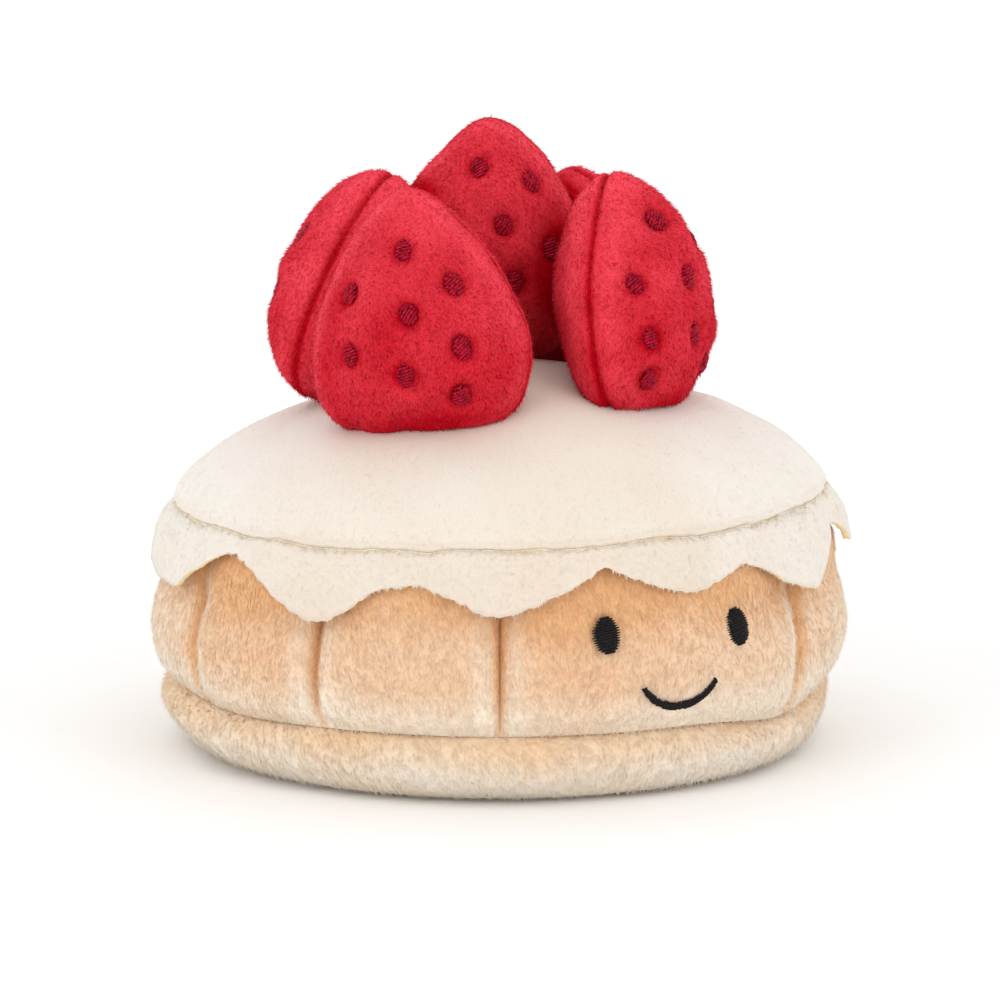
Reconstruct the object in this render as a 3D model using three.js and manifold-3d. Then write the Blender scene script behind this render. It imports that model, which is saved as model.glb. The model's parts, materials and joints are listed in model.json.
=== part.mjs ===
// A plush strawberry tart: a stuffed base and a fluted crust of stuffed panels, an icing top
// with a scalloped drip flap, five stuffed strawberries and a small stitched smile.
// Millimetres, +Z up. The origin is the centre of the flat underside, and -Y is the front.
// An azimuth is counted from the front, and grows towards +X.

import * as THREE from 'three';
import { mergeVertices } from 'three/addons/utils/BufferGeometryUtils.js';
import Module from 'manifold-3d';

const wasm = await Module();
wasm.setup();

// Driving dimensions
const REST_RADIUS = 50; // flat part of the underside
const BASE_RADIUS = 62; // widest place of the base cushion
const BASE_BELLY_Z = 9;
const LOWER_SEAM_Z = 12.9; // where the base is sewn to the crust
const LOWER_SEAM_RADIUS = 59.5;
const CRUST_RADIUS = 65; // widest place of the crust's pads
const CRUST_BELLY_Z = 23;
const UPPER_SEAM_Z = 46.3; // where the crust is sewn to the icing
const UPPER_SEAM_RADIUS = 58.4;
const SEAM_SLOPE = 0.026; // the upper seam rises a little towards +X
const GROOVE_DEPTH = 5; // how far the upright seams pull in
const FLANK_ANGLE = 0.171; // how far from an upright seam a pad rounds off, in radians
const ICING_RADIUS = 59.6;
const ICING_RISE = 24.6; // height of the icing's crown over the upper seam
const FLAP_RADIUS = 64.8; // the drip flap's outside near its hem
const FLAP_THICKNESS = 1.2;
const SEED_SIZE = { wide: 3.6, tall: 4.6, proud: 0.35 };
const EYE_SIZE = { wide: 5.2, tall: 6.4, thick: 0.7 };
const SMILE = { chord: 15, sag: 4, wide: 1.5, thick: 0.7 };
const CLEARANCE = 0.3; // left free between neighbouring pieces

// Azimuths in degrees of the crust's upright seams. The face panel lies between the first two,
// and the rest of the pads share out the back evenly.
const BACK_PADS = 7;
const FRONT_SEAMS = { first: 0, faceEnd: 60.7, backEnd: 297, left: 327.5 };

const rad = THREE.MathUtils.degToRad;
const lerp = THREE.MathUtils.lerp;
const clamp = THREE.MathUtils.clamp;

const COLOURS = {
  base: 0xe9cdaf,
  crust: 0xebc6a3,
  icing: 0xf6ede1,
  berry: 0xd6273a,
  stitch: 0x252020,
};

function material(colour, roughness = 0.95) {
  return new THREE.MeshStandardMaterial({ color: colour, roughness, metalness: 0 });
}

// The lower seam sags a little on both sides of the front. Nothing moves below and above.
const SEAM_SAGS = [
  { at: 58, reach: 14, amount: 2.3 },
  { at: -55, reach: 20, amount: 1 },
];
const SAGGING_SPAN = [3, 23]; // heights between which the cloth follows the seam

function sagging(azimuth, height) {
  const degrees = THREE.MathUtils.euclideanModulo(THREE.MathUtils.radToDeg(azimuth) + 180, 360) - 180;
  const [from, to] = SAGGING_SPAN;
  const follows = Math.sin(Math.PI * clamp((height - from) / (to - from), 0, 1)) ** 2;
  const amounts = SEAM_SAGS.map(({ at, reach, amount }) => amount * Math.exp(-(((degrees - at) / reach) ** 2)));
  return follows * (amounts[0] + amounts[1]);
}

// Places a point given by azimuth, radius and height. The crust leans into the upper seam's slope.
function place(azimuth, radius, height) {
  const x = radius * Math.sin(azimuth);
  const rise = clamp((height - LOWER_SEAM_Z) / (UPPER_SEAM_Z - LOWER_SEAM_Z), 0, 1);
  const z = height + SEAM_SLOPE * x * rise - sagging(azimuth, height) * clamp(radius / BASE_RADIUS, 0, 1);
  return new THREE.Vector3(x, -radius * Math.cos(azimuth), z);
}

// Turns an outline of (radius, height) points about +Z, then moves each point by shape().
function turned(outline, segments, shape = (azimuth, radius, height) => [azimuth, radius, height]) {
  const geometry = new THREE.LatheGeometry(outline, segments);
  const points = geometry.attributes.position;
  const columns = outline.length;
  for (let i = 0; i < points.count; i++) {
    const step = Math.floor(i / columns) % segments;
    const { x: radius, y: height } = outline[i % columns];
    const p = place(...shape((2 * Math.PI * step) / segments, radius, height));
    points.setXYZ(i, p.x, p.y, p.z);
  }
  return geometry;
}

// Solids for cutting and joining

function toSolid(geometry) {
  const bare = geometry.clone();
  bare.deleteAttribute('normal');
  bare.deleteAttribute('uv');
  const merged = mergeVertices(bare, 1e-4);
  const index = Array.from(merged.index.array);
  const kept = [];
  for (let i = 0; i < index.length; i += 3) {
    const [a, b, c] = index.slice(i, i + 3);
    if (a !== b && b !== c && c !== a) kept.push(a, b, c);
  }
  return new wasm.Manifold(
    new wasm.Mesh({
      numProp: 3,
      vertProperties: new Float32Array(merged.attributes.position.array),
      triVerts: new Uint32Array(kept),
    }),
  );
}

function toGeometry(solid) {
  const mesh = solid.getMesh();
  const geometry = new THREE.BufferGeometry();
  geometry.setAttribute('position', new THREE.BufferAttribute(mesh.vertProperties, 3));
  geometry.setIndex(new THREE.BufferAttribute(mesh.triVerts, 1));
  geometry.computeVertexNormals();
  return geometry;
}

// Base cushion: flat below, a round edge, then in to the lower seam

function baseGeometry() {
  const outline = [new THREE.Vector2(0, 0)];
  const edgeSteps = 6;
  for (let i = 0; i <= edgeSteps; i++) {
    const turn = ((Math.PI / 2) * i) / edgeSteps;
    const out = (BASE_RADIUS - REST_RADIUS) * Math.sin(turn);
    outline.push(new THREE.Vector2(REST_RADIUS + out, BASE_BELLY_Z * (1 - Math.cos(turn))));
  }
  const top = LOWER_SEAM_Z - CLEARANCE / 2;
  const shoulder = lerp(BASE_RADIUS, LOWER_SEAM_RADIUS, 0.35);
  outline.push(new THREE.Vector2(shoulder, lerp(BASE_BELLY_Z, top, 0.75)));
  outline.push(new THREE.Vector2(LOWER_SEAM_RADIUS, top));
  outline.push(new THREE.Vector2(0, top));
  return turned(outline, 66);
}

// Crust wall: pads between upright seams

// The pads' middle line, from the lower seam to the upper one, pressed in under the flap.
const PAD_LINE = new THREE.SplineCurve([
  new THREE.Vector2(LOWER_SEAM_RADIUS, LOWER_SEAM_Z + CLEARANCE / 2),
  new THREE.Vector2(63.4, 16.4),
  new THREE.Vector2(CRUST_RADIUS, CRUST_BELLY_Z),
  new THREE.Vector2(64.2, 28.8),
  new THREE.Vector2(62.9, 33),
  new THREE.Vector2(62.5, 37.5),
  new THREE.Vector2(61.2, 42),
  new THREE.Vector2(UPPER_SEAM_RADIUS, UPPER_SEAM_Z - CLEARANCE / 2),
]);

function padRadius(height) {
  let low = 0;
  let high = 1;
  for (let i = 0; i < 24; i++) {
    const middle = (low + high) / 2;
    if (PAD_LINE.getPoint(middle).y < height) low = middle;
    else high = middle;
  }
  return PAD_LINE.getPoint(low).x;
}

// All the upright seams, in radians, once round from the first and back to it.
function uprightSeams() {
  const { first, faceEnd, backEnd, left } = FRONT_SEAMS;
  const seams = [first];
  for (let i = 0; i <= BACK_PADS; i++) seams.push(lerp(faceEnd, backEnd, i / BACK_PADS));
  return [...seams, left, first + 360].map(rad);
}

const SEAMS = uprightSeams();

// 0 at an upright seam, 1 over the flat of a pad.
function padFullness(azimuth) {
  const fromSeam = Math.min(...SEAMS.map((seam) => Math.abs(azimuth - seam)));
  return Math.sqrt(1 - Math.pow(1 - clamp(fromSeam / FLANK_ANGLE, 0, 1), 2));
}

function crustRadius(azimuth, height) {
  const full = padRadius(height);
  const span = (height - LOWER_SEAM_Z) / (UPPER_SEAM_Z - LOWER_SEAM_Z);
  const groove = GROOVE_DEPTH * Math.pow(Math.sin(Math.PI * clamp(span, 0, 1)), 0.6);
  return full - groove * (1 - padFullness(azimuth));
}

function crustGeometry() {
  const steps = SEAMS.slice(1).map((seam, i) => (i === 0 ? 14 : 8)); // corners along each pad
  const pads = steps.flatMap((count, i) => Array.from({ length: count }, (_, j) => [i, j / count]));
  const rings = 10;
  const outline = [new THREE.Vector2(0, LOWER_SEAM_Z + CLEARANCE / 2)];
  for (let i = 0; i <= rings; i++) outline.push(PAD_LINE.getPoint(i / rings));
  outline.push(new THREE.Vector2(0, UPPER_SEAM_Z - CLEARANCE / 2));
  const crowding = 0.6; // draws the corners towards the seams, where the pads turn fastest
  return turned(outline, pads.length, (azimuth, radius, height) => {
    const [pad, across] = pads[Math.round((azimuth / (2 * Math.PI)) * pads.length)];
    const eased = lerp(across, 0.5 - 0.5 * Math.cos(Math.PI * across), crowding);
    const turnedTo = lerp(SEAMS[pad], SEAMS[pad + 1], eased);
    const inside = radius === 0;
    return [turnedTo, inside ? 0 : crustRadius(turnedTo, height), height];
  });
}

// Icing top: a full crown that rolls over at its seam

function icingHeight(radius, grow = 0) {
  const share = clamp(radius / (ICING_RADIUS + grow), 0, 1);
  const rise = Math.pow(1 - Math.pow(share, 1.3), 0.604);
  return UPPER_SEAM_Z + CLEARANCE / 2 + 1 + grow + (ICING_RISE - 1) * rise;
}

function icingGeometry(grow = 0) {
  const rings = 9;
  const floor = UPPER_SEAM_Z + CLEARANCE / 2 - grow;
  const outline = [new THREE.Vector2(0, floor), new THREE.Vector2(UPPER_SEAM_RADIUS - 0.4 + grow, floor)];
  for (let i = 0; i <= rings; i++) {
    const share = Math.cos((Math.PI / 2) * (i / rings)) ** 0.8;
    const radius = (ICING_RADIUS + grow) * (i === rings ? 0 : share);
    outline.push(new THREE.Vector2(radius, icingHeight(radius, grow)));
  }
  return turned(outline, 66);
}

// Drip flap: a thin skin from the upper seam down over the crust, with a scalloped hem

// The hem's turning points, as azimuth in degrees and height. A sharp one is a cusp.
const FRONT_HEM = [
  { at: -80, z: 35.2 },
  { at: -70, z: 34.4 },
  { at: -65, z: 35 },
  { at: -58.2, z: 39.4 },
  { at: -50, z: 43.6 },
  { at: -45.2, z: 41.8 },
  { at: -38.2, z: 36.9 },
  { at: -30.4, z: 33.5 },
  { at: -24.6, z: 36.4 },
  { at: -19.2, z: 40.2 },
  { at: -14.5, z: 41.1 },
  { at: -8, z: 39 },
  { at: -0.6, z: 35.6 },
  { at: 6.3, z: 38 },
  { at: 12.6, z: 40.7 },
  { at: 17, z: 43.3, sharp: true },
  { at: 21.9, z: 40.9 },
  { at: 32.5, z: 37.5 },
  { at: 38.2, z: 38.6 },
  { at: 43.3, z: 40.7 },
  { at: 47.1, z: 39.5 },
  { at: 54, z: 35.6 },
  { at: 62, z: 33.4 },
  { at: 67, z: 35.6 },
  { at: 73.5, z: 42.4 },
  { at: 86, z: 37.2 },
];

// Round the back the scallops follow each other evenly, each a little different from the last.
function backHem() {
  const count = 5;
  const from = FRONT_HEM.at(-1).at;
  const step = (360 + FRONT_HEM[0].at - from) / (count + 1);
  const points = [];
  for (let i = 0; i <= count; i++) {
    const drift = Math.sin(2.3 * i + 0.4);
    points.push({ at: from + step * (i + 0.45) + 1.5 * drift, z: 42 + 0.9 * drift });
    if (i < count) points.push({ at: from + step * (i + 1) - 1.5 * drift, z: 35 - 1.7 * Math.cos(2 * i) });
  }
  return points;
}

const HEM = [...FRONT_HEM, ...backHem()];

// The slope of the hem where two of its stretches meet: level at a tip or a notch.
function hemSlope(before, after) {
  return before * after > 0 ? (2 * before * after) / (before + after) : 0;
}

function hemHeight(azimuth) {
  const first = HEM[0].at;
  const degrees = first + THREE.MathUtils.euclideanModulo(THREE.MathUtils.radToDeg(azimuth) - first, 360);
  const knot = (i) => {
    const laps = Math.floor(i / HEM.length);
    const point = HEM[i - laps * HEM.length];
    return { ...point, at: point.at + 360 * laps };
  };
  let i = HEM.length - 1;
  while (knot(i).at > degrees) i--;
  const [before, from, to, after] = [knot(i - 1), knot(i), knot(i + 1), knot(i + 2)];
  const slope = (a, b) => (b.z - a.z) / (b.at - a.at);
  const here = slope(from, to);
  const width = to.at - from.at;
  const start = (from.sharp ? here : hemSlope(slope(before, from), here)) * width;
  const end = (to.sharp ? here : hemSlope(here, slope(to, after))) * width;
  const t = (degrees - from.at) / width;
  return (
    (2 * t ** 3 - 3 * t ** 2 + 1) * from.z +
    (t ** 3 - 2 * t ** 2 + t) * start +
    (3 * t ** 2 - 2 * t ** 3) * to.z +
    (t ** 3 - t ** 2) * end
  );
}

function flapRadius(height) {
  const drop = Math.max(UPPER_SEAM_Z - height, 0);
  const start = UPPER_SEAM_RADIUS + FLAP_THICKNESS;
  return start + (FLAP_RADIUS - start) * (1 - Math.exp(-drop / 3.8));
}

function flapGeometry() {
  const rows = 4;
  const top = UPPER_SEAM_Z - 0.1;
  const outline = [];
  const down = (i) => (i / rows) ** 1.5; // closer rows near the seam, where the flap bends most
  for (let i = 0; i <= rows; i++) outline.push(new THREE.Vector2(0, down(i)));
  for (let i = rows; i >= 0; i--) outline.push(new THREE.Vector2(1, down(i)));
  outline.push(outline[0].clone());
  return turned(outline, 120, (azimuth, side, share) => {
    const height = lerp(top, hemHeight(azimuth), share);
    return [azimuth, flapRadius(height) - FLAP_THICKNESS * (1 - side), height];
  });
}

// Strawberries: two stuffed faces sewn together round their edge, standing on the icing

const BERRY = { wide: 40.2, tall: 46, front: 15, back: 13, heavy: 0.15 };
const OUTLINE = { spread: 0.94, taper: 0.36, tip: 1.1, base: 0.78 }; // a slim tip and a broad base

// The berry's outline. turn 0 is the tip and half a turn is the middle of the base.
function berryEdge(turn, berry, grow) {
  const side = Math.sin(turn);
  const up = Math.cos(turn);
  const full = Math.sign(side) * Math.pow(Math.abs(side), up < 0 ? OUTLINE.base : OUTLINE.tip);
  return [
    (berry.wide / 2 + grow) * OUTLINE.spread * full * (1 - OUTLINE.taper * up),
    (berry.tall / 2 + grow) * up,
  ];
}

// How far a face stands off the seam's plane, at a share of the way out to the edge.
function berryFullness(share) {
  return Math.pow(1 - Math.pow(share, 2.3), 0.6);
}

// How far a point of the seam's plane lies from the berry's middle, as a share of the way to the edge.
function berryShare(across, up, berry) {
  let low = 0;
  let high = Math.PI;
  for (let i = 0; i < 24; i++) {
    const middle = (low + high) / 2;
    if (Math.atan2(...berryEdge(middle, berry, 0)) < Math.atan2(Math.abs(across), up)) low = middle;
    else high = middle;
  }
  return Math.hypot(across, up) / Math.hypot(...berryEdge(low, berry, 0));
}

// A berry is deeper below its middle than above it.
function berryWeight(up, berry) {
  return 1 - (berry.heavy * up) / (berry.tall / 2);
}

function berryMatrix(berry) {
  const yaw = rad(berry.facing);
  const across = new THREE.Vector3(Math.cos(yaw), Math.sin(yaw), 0);
  const outward = new THREE.Vector3(Math.sin(yaw), -Math.cos(yaw), 0);
  const matrix = new THREE.Matrix4().makeBasis(across, new THREE.Vector3(0, 0, 1), outward);
  matrix.multiply(new THREE.Matrix4().makeRotationX(-rad(berry.back)));
  matrix.multiply(new THREE.Matrix4().makeRotationZ(-rad(berry.roll)));
  return matrix.setPosition(...berry.at);
}

function berryGeometry(berry, grow = 0) {
  const size = { ...BERRY, ...berry.size };
  const rings = 5;
  const outline = [];
  for (let i = 0; i < rings; i++) {
    const share = Math.sin(((Math.PI / 2) * i) / rings);
    outline.push(new THREE.Vector2(share, -berryFullness(share)));
  }
  outline.push(new THREE.Vector2(0.97, 0));
  for (let i = rings - 1; i >= 0; i--) outline.push(new THREE.Vector2(outline[i].x, -outline[i].y));
  const segments = 26;
  const geometry = new THREE.LatheGeometry(outline, segments);
  const points = geometry.attributes.position;
  const columns = outline.length;
  for (let i = 0; i < points.count; i++) {
    const turn = (2 * Math.PI * (Math.floor(i / columns) % segments)) / segments;
    const { x: share, y: off } = outline[i % columns];
    const [edgeX, edgeY] = berryEdge(turn, size, grow);
    const depth = off > 0 ? size.front + grow : size.back + grow;
    points.setXYZ(i, -share * edgeX, share * edgeY, off * depth * berryWeight(share * edgeY, size));
  }
  return geometry.applyMatrix4(berryMatrix(berry));
}

// A seed's middle is given across and up from the berry's own middle, on the outer face.
function seedGeometry(berry, [across, up]) {
  const size = { ...BERRY, ...berry.size };
  const share = clamp(berryShare(across, up, size), 0, 0.97);
  const off = size.front * berryFullness(share) * berryWeight(up, size);
  const centre = new THREE.Vector3(across, up, off);
  const half = [size.wide / 2, size.tall / 2, size.front];
  const slope = [across, up, off].map((value, i) => value / half[i] ** 2);
  const normal = new THREE.Vector3(...slope).normalize();
  const geometry = new THREE.SphereGeometry(1, 6, 4);
  geometry.scale(SEED_SIZE.wide / 2, SEED_SIZE.tall / 2, 2 * SEED_SIZE.proud);
  const turnTo = new THREE.Quaternion().setFromUnitVectors(new THREE.Vector3(0, 0, 1), normal);
  geometry.applyQuaternion(turnTo).translate(...centre.toArray());
  return geometry.applyMatrix4(berryMatrix(berry));
}

// Middle, facing azimuth, backward tilt and sideways roll in degrees, and any size of its own.
const BERRIES = {
  strawberry_front_left: {
    at: [-14.7, -23.2, 83], facing: -12, back: 4, roll: -6, size: { wide: 41, tall: 48 },
    seeds: [
      [0.7, 13], [9.9, 6.2], [1.3, 1.2], [-10.8, 5.7],
      [10.8, -5.5], [-10.9, -5.6], [-0.3, -10], [9.3, -15],
    ],
  },
  strawberry_back_left: {
    at: [-25.6, 8, 83.4], facing: -118, back: 16, roll: 0, size: { heavy: -0.02 },
    seeds: [[-1, 14], [8, 8], [-7, 5], [2, 1], [12, -3], [-10.5, -7], [3, -9.5], [-3, -17]],
  },
  strawberry_middle: {
    at: [-2.2, 14, 91.5], facing: 0, back: 4, roll: 0, size: { wide: 41.8, tall: 47, heavy: 0.1 },
    seeds: [[-1.9, 14.4], [8.7, 11.6], [3.1, 3.6], [-7.5, 4], [5, -7.4], [12.6, -0.8], [-5, -8.5]],
  },
  strawberry_back_right: {
    at: [15.8, 28, 82.4], facing: 150, back: 12, roll: 0, size: { wide: 38.4, tall: 44, heavy: 0.05 },
    seeds: [[-1, 14], [8, 8], [-7, 5], [2, 1], [12, -3], [-10.5, -7], [3, -9.5], [-3, -17]],
  },
  strawberry_right: {
    at: [23.3, -5, 83.2], facing: 67, back: 10, roll: 3, size: { front: 15.5, tall: 48, heavy: -0.06 },
    seeds: [
      [-5.2, 14.4], [4.5, 9.5], [-14.5, 3.3], [-3.4, 2.7], [-14.6, -7.3],
      [-1.9, -8.1], [9.5, -3.5], [-13.6, -15.2], [7.5, -14.5],
    ],
  },
};

// Each berry is cut clear of the icing and of the berries made before it, then gets its seeds.
function berryGeometries() {
  const icing = toSolid(icingGeometry(CLEARANCE));
  const made = [];
  return Object.entries(BERRIES).map(([name, berry]) => {
    let solid = toSolid(berryGeometry(berry)).subtract(icing);
    for (const other of made) solid = solid.subtract(toSolid(berryGeometry(other, CLEARANCE)));
    made.push(berry);
    for (const seed of berry.seeds) solid = solid.add(toSolid(seedGeometry(berry, seed)));
    return [name, toGeometry(solid)];
  });
}

// Stitched face: two eyes and a smile laid on the face panel

// Azimuth and height of each stitched piece's middle. The smile is placed by its corners' height.
const FACE = {
  eye_left: [rad(17.4), 31.3],
  eye_right: [rad(42), 30],
  smile: [rad(30), 21.4],
};

// Lays a point on the crust: across and up from a middle, and off its surface.
function onCrust(azimuth, height, across, up, off) {
  const radius = padRadius(height + up);
  const ahead = (padRadius(height + up + 1) - padRadius(height + up - 1)) / 2;
  const slope = Math.hypot(1, ahead);
  const out = (CLEARANCE + off) / slope;
  const turnedTo = azimuth + across / CRUST_RADIUS;
  return place(turnedTo, radius + out, height + up - out * ahead);
}

function laidOnCrust(geometry, azimuth, height) {
  const points = geometry.attributes.position;
  for (let i = 0; i < points.count; i++) {
    const p = onCrust(azimuth, height, points.getX(i), points.getY(i), points.getZ(i));
    points.setXYZ(i, p.x, p.y, p.z);
  }
  return geometry;
}

function eyeGeometry(azimuth, height) {
  const outline = [
    new THREE.Vector2(0, 0),
    new THREE.Vector2(1, 0),
    new THREE.Vector2(0.94, 0.6 * EYE_SIZE.thick),
    new THREE.Vector2(0.6, EYE_SIZE.thick),
    new THREE.Vector2(0, EYE_SIZE.thick),
  ];
  const geometry = new THREE.LatheGeometry(outline, 16).rotateX(Math.PI / 2);
  geometry.scale(EYE_SIZE.wide / 2, EYE_SIZE.tall / 2, 1);
  return laidOnCrust(geometry, azimuth, height);
}

function smileGeometry(azimuth, height) {
  const half = SMILE.chord / 2;
  const radius = (half ** 2 + SMILE.sag ** 2) / (2 * SMILE.sag);
  const reach = Math.asin(half / radius);
  const end = SMILE.wide / 2;
  const centreY = radius - SMILE.sag;
  const [from, to] = [-Math.PI / 2 - reach, -Math.PI / 2 + reach];
  const endAt = (turn) => [radius * Math.cos(turn), centreY + radius * Math.sin(turn)];
  const outline = new THREE.Shape();
  outline.absarc(0, centreY, radius + end, from, to, false);
  outline.absarc(...endAt(to), end, to, to + Math.PI, false);
  outline.absarc(0, centreY, radius - end, to, from, true);
  outline.absarc(...endAt(from), end, from + Math.PI, from + 2 * Math.PI, false);
  const settings = { depth: SMILE.thick, bevelEnabled: false, curveSegments: 10 };
  return laidOnCrust(new THREE.ExtrudeGeometry(outline, settings), azimuth, height);
}

// The tart

const tart = new THREE.Group();

function add(name, geometry, colour) {
  const mesh = new THREE.Mesh(geometry, material(colour));
  mesh.name = name;
  tart.add(mesh);
}

add('base_cushion', baseGeometry(), COLOURS.base);
add('crust_wall', crustGeometry(), COLOURS.crust);
add('icing_top', icingGeometry(), COLOURS.icing);
add('icing_drip', flapGeometry(), COLOURS.icing);
for (const [name, geometry] of berryGeometries()) add(name, geometry, COLOURS.berry);
add('eye_left', eyeGeometry(...FACE.eye_left), COLOURS.stitch);
add('eye_right', eyeGeometry(...FACE.eye_right), COLOURS.stitch);
add('smile', smileGeometry(...FACE.smile), COLOURS.stitch);

export default tart;
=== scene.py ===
# %% [markdown]
# A plush strawberry tart. The real toy is sewn from short-pile plush and stuffed: a base cushion,
# a ring of crust pads, a cream icing top with a scalloped flap, five strawberries and a small
# stitched smile. The solids of all these pieces are loaded first, and every piece made below
# stands where its solid stands. We work in millimetres and turn them into metres at the end.

# %% Load the solids
import json
import math

import bmesh
import bpy
import numpy as np
from mathutils import Matrix, Vector

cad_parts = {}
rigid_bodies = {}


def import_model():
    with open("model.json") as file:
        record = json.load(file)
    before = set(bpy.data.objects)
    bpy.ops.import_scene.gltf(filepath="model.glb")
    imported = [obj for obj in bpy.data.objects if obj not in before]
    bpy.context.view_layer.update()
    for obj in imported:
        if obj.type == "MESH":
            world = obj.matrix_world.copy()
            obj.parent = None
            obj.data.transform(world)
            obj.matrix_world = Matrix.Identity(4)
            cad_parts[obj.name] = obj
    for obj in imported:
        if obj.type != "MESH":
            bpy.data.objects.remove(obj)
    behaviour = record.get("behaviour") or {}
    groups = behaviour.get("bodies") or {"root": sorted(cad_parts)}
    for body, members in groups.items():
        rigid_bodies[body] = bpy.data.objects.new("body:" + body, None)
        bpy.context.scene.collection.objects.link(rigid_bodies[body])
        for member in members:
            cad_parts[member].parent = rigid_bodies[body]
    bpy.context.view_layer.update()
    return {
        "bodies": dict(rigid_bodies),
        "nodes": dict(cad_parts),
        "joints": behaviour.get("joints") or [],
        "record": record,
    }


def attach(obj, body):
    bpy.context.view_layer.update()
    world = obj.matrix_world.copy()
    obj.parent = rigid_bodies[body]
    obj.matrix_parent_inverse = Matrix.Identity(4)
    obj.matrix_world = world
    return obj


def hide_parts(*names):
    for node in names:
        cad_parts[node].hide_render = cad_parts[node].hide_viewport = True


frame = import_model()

MM = 0.001

# %% [markdown]
# The camera. The photograph looks down on the toy a little, from far away, so that the toy's
# sides stay almost parallel. A constraint could aim the camera at the toy. Here its place and its
# turn are worked out from one angle instead, so that nothing is left to update later.

# %% Camera
view_height_angle = math.radians(10.6)
view_distance = 1300.0
aim_height = 44.6
lens_mm = 253.1

camera = bpy.data.objects.new("camera", bpy.data.cameras.new("camera"))
bpy.context.collection.objects.link(camera)
camera.data.lens = lens_mm
camera.data.sensor_width = 36.0
camera.data.clip_end = 20.0
camera.location = MM * Vector((
    0.0,
    -view_distance * math.cos(view_height_angle),
    aim_height + view_distance * math.sin(view_height_angle),
))
camera.rotation_euler = (math.pi / 2 - view_height_angle, 0.0, 0.0)
bpy.context.scene.camera = camera
print("camera stands", round(camera.location.length, 3), "m away")

# %% [markdown]
# The light. The toy stands in a tent of soft white light. The tent could be built and lit from
# outside, but a white world gives the same even light with less noise. A ceiling of light, much
# larger than the toy, adds a soft light from above that reaches the far paper too, and two
# smaller lamps round off the sides. The plain Standard view shows the colours as they are set,
# which makes them easy to compare.

# %% Light
bpy.context.scene.view_settings.view_transform = "Standard"

world = bpy.data.worlds.new("tent")
world.use_nodes = True
world.node_tree.nodes["Background"].inputs["Color"].default_value = (1.0, 1.0, 1.0, 1.0)
world.node_tree.nodes["Background"].inputs["Strength"].default_value = 0.9
bpy.context.scene.world = world


def soft_lamp(name, stand, aim, size, watts):
    lamp = bpy.data.objects.new(name, bpy.data.lights.new(name, "AREA"))
    bpy.context.collection.objects.link(lamp)
    lamp.data.shape = "DISK"
    lamp.data.size = size
    lamp.data.energy = watts
    lamp.location = stand
    lamp.rotation_euler = (Vector(aim) - Vector(stand)).to_track_quat("-Z", "Y").to_euler()
    return lamp


middle = (0.0, 0.0, 0.06)
soft_lamp("lamp_ceiling", (0.0, 0.6, 2.6), (0.0, 0.6, 0.0), 7.0, 24.0)
soft_lamp("lamp_left", (-1.1, -1.3, 0.6), middle, 1.0, 5.5)
soft_lamp("lamp_right", (1.2, -1.2, 0.5), middle, 1.0, 4.5)

# %% [markdown]
# Materials. Every finish on the toy is made of nodes. They could be placed by hand in the shader
# editor, but nodes added by code can be made again for the next piece with other colours. One
# helper turns a colour as we see it into Blender's own, one starts a material, one adds a node.

# %% Helpers for materials
def colour(red, green, blue):
    """A colour as a paint program shows it, from 0 to 255, turned into Blender's linear light."""
    shown = np.array([red, green, blue]) / 255.0
    linear = np.where(shown <= 0.04045, shown / 12.92, ((shown + 0.055) / 1.055) ** 2.4)
    return (*linear.tolist(), 1.0)


def new_material(name, rough):
    """A material with an empty Principled shader, and the nodes and links to go on with."""
    material = bpy.data.materials.new(name)
    material.use_nodes = True
    shader = material.node_tree.nodes["Principled BSDF"]
    shader.inputs["Roughness"].default_value = rough
    shader.inputs["Specular IOR Level"].default_value = 0.2
    return material, material.node_tree.nodes, material.node_tree.links, shader


def add_node(nodes, links, kind, settings=None, inputs=None):
    """Adds one node. Settings are its own properties, inputs are values or sockets to link."""
    node = nodes.new(kind)
    for key, value in (settings or {}).items():
        setattr(node, key, value)
    for key, value in (inputs or {}).items():
        if isinstance(value, bpy.types.NodeSocket):
            links.new(value, node.inputs[key])
        else:
            node.inputs[key].default_value = value
    return node


print("the middle grey 188 is", round(colour(188, 188, 188)[0], 2), "in linear light")

# %% [markdown]
# The floor is a sheet of white paper, far larger than the toy, so its edge is never in sight. A
# plain white would do from afar. A very fine grain in its colour makes it paper close by.

# %% Paper floor
floor_paint, nodes, links, shader = new_material("white_paper", 0.9)
grain = add_node(nodes, links, "ShaderNodeTexNoise", inputs={"Scale": 900.0, "Detail": 3.0})
paper = add_node(nodes, links, "ShaderNodeValToRGB", inputs={"Fac": grain.outputs["Fac"]})
paper.color_ramp.elements[0].color = (0.965, 0.963, 0.96, 1.0)
paper.color_ramp.elements[1].color = (0.99, 0.99, 0.988, 1.0)
links.new(paper.outputs["Color"], shader.inputs["Base Color"])
bpy.ops.mesh.primitive_plane_add(size=12.0)
floor = bpy.context.object
floor.name = "paper_floor"
floor.data.materials.append(floor_paint)
print("the floor is", round(floor.dimensions.x, 1), "m wide")

# %% [markdown]
# Sizes. These are the toy's driving sizes in millimetres, the same that its solids have. They
# could stand in the formulas as bare numbers, but with names they can be changed in one place.

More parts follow.
